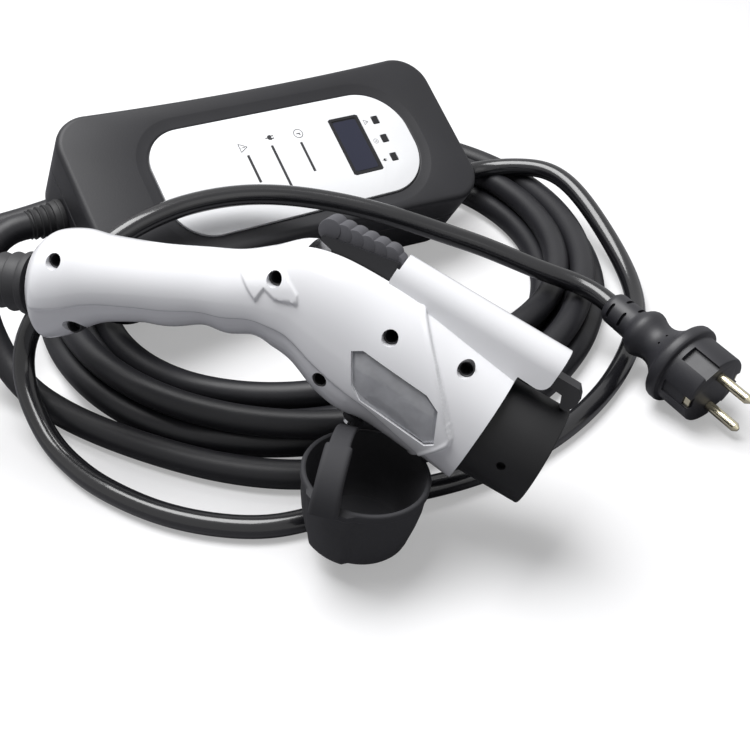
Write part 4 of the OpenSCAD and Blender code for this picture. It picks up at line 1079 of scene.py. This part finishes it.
# %% Thumb button
RIBS = [(4.6, 6.5), (4.4, 6.1), (4.4, 5.9), (4.4, 5.7), (4.4, 5.5), (4.3, 5.3), (3.1, 5.1)]  # radius, half width
FIRST_RIB, RIB_STEP, RIB_SLOPE = np.array([-120.9, 31.6]), 5.1, np.radians(8.5)


def rib(at, r, half):
    """A round rib across the button, with a small chamfer at its ends: (y, how much less than r)."""
    ends = [(half, 0.45), (half - 0.12, 0.14), (half - 0.45, 0)]
    steps = [(-y, less) for y, less in ends] + ends[::-1]
    return np.stack([across(circle(r - less, 48, at), y) for y, less in steps])


rib_places = FIRST_RIB + RIB_STEP * np.outer(np.arange(len(RIBS)), [np.cos(RIB_SLOPE), np.sin(RIB_SLOPE)])
rib_places[-1] -= (1.4, 1.2)  # the last and smallest one goes down under the hood
thumb_pad = joined("thumb_pad", [rib(at, *size) for at, size in zip(rib_places, RIBS)], "gun", 28)
finish_piece(thumb_pad, "button_grey", "latch", stands_for=("thumb_button",))

# %% [markdown]
# The latch spring stands on the trough's floor, under the lever. It is a stiff
# coil, which would poke through the pressed lever. Its end turns lie closer,
# as on a real one:
# height = 13.4 + 13.7 * (t - 0.09 * sin(2 pi t)), with t from 0 to 1 in six turns.

# %% Latch spring
SPRING_X, SPRING_R, WIRE_R, SPRING_TURNS = -104, 2.4, 0.4, 6
t = np.linspace(0, 1, 181)
turn_of_wire = 2 * np.pi * SPRING_TURNS * t
wire = np.stack([SPRING_X + SPRING_R * np.cos(turn_of_wire), SPRING_R * np.sin(turn_of_wire),
                 13.4 + 13.7 * (t - 0.09 * np.sin(2 * np.pi * t))], 1)
latch_coil = shell("latch_coil", tube_rings(wire, WIRE_R, 10), "gun", 60)
paint(latch_coil, "pin_steel")
fixed_end, moving_end = (tuple(on_table([SPRING_X, 0, z], "gun")) for z in (14, 26.4))
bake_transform(latch_coil)
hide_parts("latch_spring")

# %% [markdown]
# The picture was taken on white paper, a little overexposed. More light would
# bleach the object too. So the paper glows a little where the camera sees it,
# keeps its soft shadows, and gives back less light to the pieces, whose
# undersides then stay grey.

# %% Floor
def stage_sheet(name, size):
    """A flat square sheet of paper on the ground, of so many metres."""
    h = size / 2
    mesh = bpy.data.meshes.new(name)
    mesh.from_pydata([(-h, -h, 0), (h, -h, 0), (h, h, 0), (-h, h, 0)], [], [(0, 1, 2, 3)])
    sheet = add_object(name, mesh)
    # White paper: matt, seen by the camera as a diffuse sheet with a glow of its own.
    material, tree, surface = fresh_material("white_paper_floor")
    tree.nodes.remove(surface)
    lit = add_node(tree, "ShaderNodeBsdfDiffuse", Color=(0.6, 0.6, 0.61, 1))
    glow = add_node(tree, "ShaderNodeEmission", Color=(1, 1, 1, 1), Strength=0.34)
    seen = add_node(tree, "ShaderNodeAddShader", _0=lit.outputs[0], _1=glow.outputs[0])
    given = add_node(tree, "ShaderNodeBsdfDiffuse", Color=(0.3, 0.3, 0.32, 1))
    path = add_node(tree, "ShaderNodeLightPath")
    mixed = add_node(tree, "ShaderNodeMixShader", _0=path.outputs["Is Camera Ray"], _1=given.outputs[0],
                     _2=seen.outputs[0])
    tree.links.new(mixed.outputs[0], tree.nodes["Material Output"].inputs["Surface"])
    mesh.materials.append(material)


stage_sheet("floor", 12)
print("floor laid")

# %% [markdown]
# A studio has a bright room and one large soft box. The white world is full
# strength where the camera or clear plastic sees it, 0.7 where a gloss mirrors
# it, and only 0.15 as light, so that shadows keep their depth. The key lamp
# hangs above and a little behind; the fill lifts the near side.

# %% World and lamps
AMBIENT, MIRRORED, SEEN = 0.15, 0.55, 0.85
world = bpy.data.worlds.new("studio")
bpy.context.scene.world = world
world.use_nodes = True
sky = world.node_tree
sky.nodes.clear()
path = add_node(sky, "ShaderNodeLightPath")
direct = add_node(sky, "ShaderNodeMath", {"operation": "MAXIMUM"}, _0=path.outputs["Is Camera Ray"],
                  _1=path.outputs["Is Transmission Ray"])
mirrored = add_node(sky, "ShaderNodeMath", {"operation": "MULTIPLY_ADD"}, _0=path.outputs["Is Glossy Ray"],
                    _1=MIRRORED, _2=AMBIENT)
strength = add_node(sky, "ShaderNodeMath", {"operation": "MULTIPLY_ADD"}, _0=direct.outputs[0],
                    _1=SEEN, _2=mirrored.outputs[0])
studio = add_node(sky, "ShaderNodeBackground", Color=(1, 1, 1, 1), Strength=strength.outputs[0])
sky.links.new(studio.outputs[0], add_node(sky, "ShaderNodeOutputWorld").inputs["Surface"])
AIM = (0.02, 0, 0.03)


def soft_lamp(name, at, size, power):
    """A square soft box at a point, aimed at the middle of the object, in metres and watts."""
    data = bpy.data.lights.new(name, "AREA")
    data.shape, data.size, data.energy = "SQUARE", size, power
    lamp = add_object(name, data)
    lamp.location = at
    way = np.array(AIM, float) - np.array(at, float)
    lamp.rotation_euler = (math.acos(-way[2] / np.linalg.norm(way)), 0, math.atan2(way[1], way[0]) - math.pi / 2)


soft_lamp("key", (-0.25, 0.18, 1.25), 0.95, 25.0)
soft_lamp("fill", (0.9, -0.7, 0.8), 0.8, 1.0)
print("lamps", ", ".join(light.name for light in bpy.data.lights))

# %% [markdown]
# Last, the end of the mains lead at the plug and its route are worked out in
# metres, and not kept. The photograph shows the lead from end to end, so its
# real length is what is drawn.

# %% Mains lead in metres
tuple(on_table(mains_points[-1], "table"))
on_table(mains_route, "table").tolist()
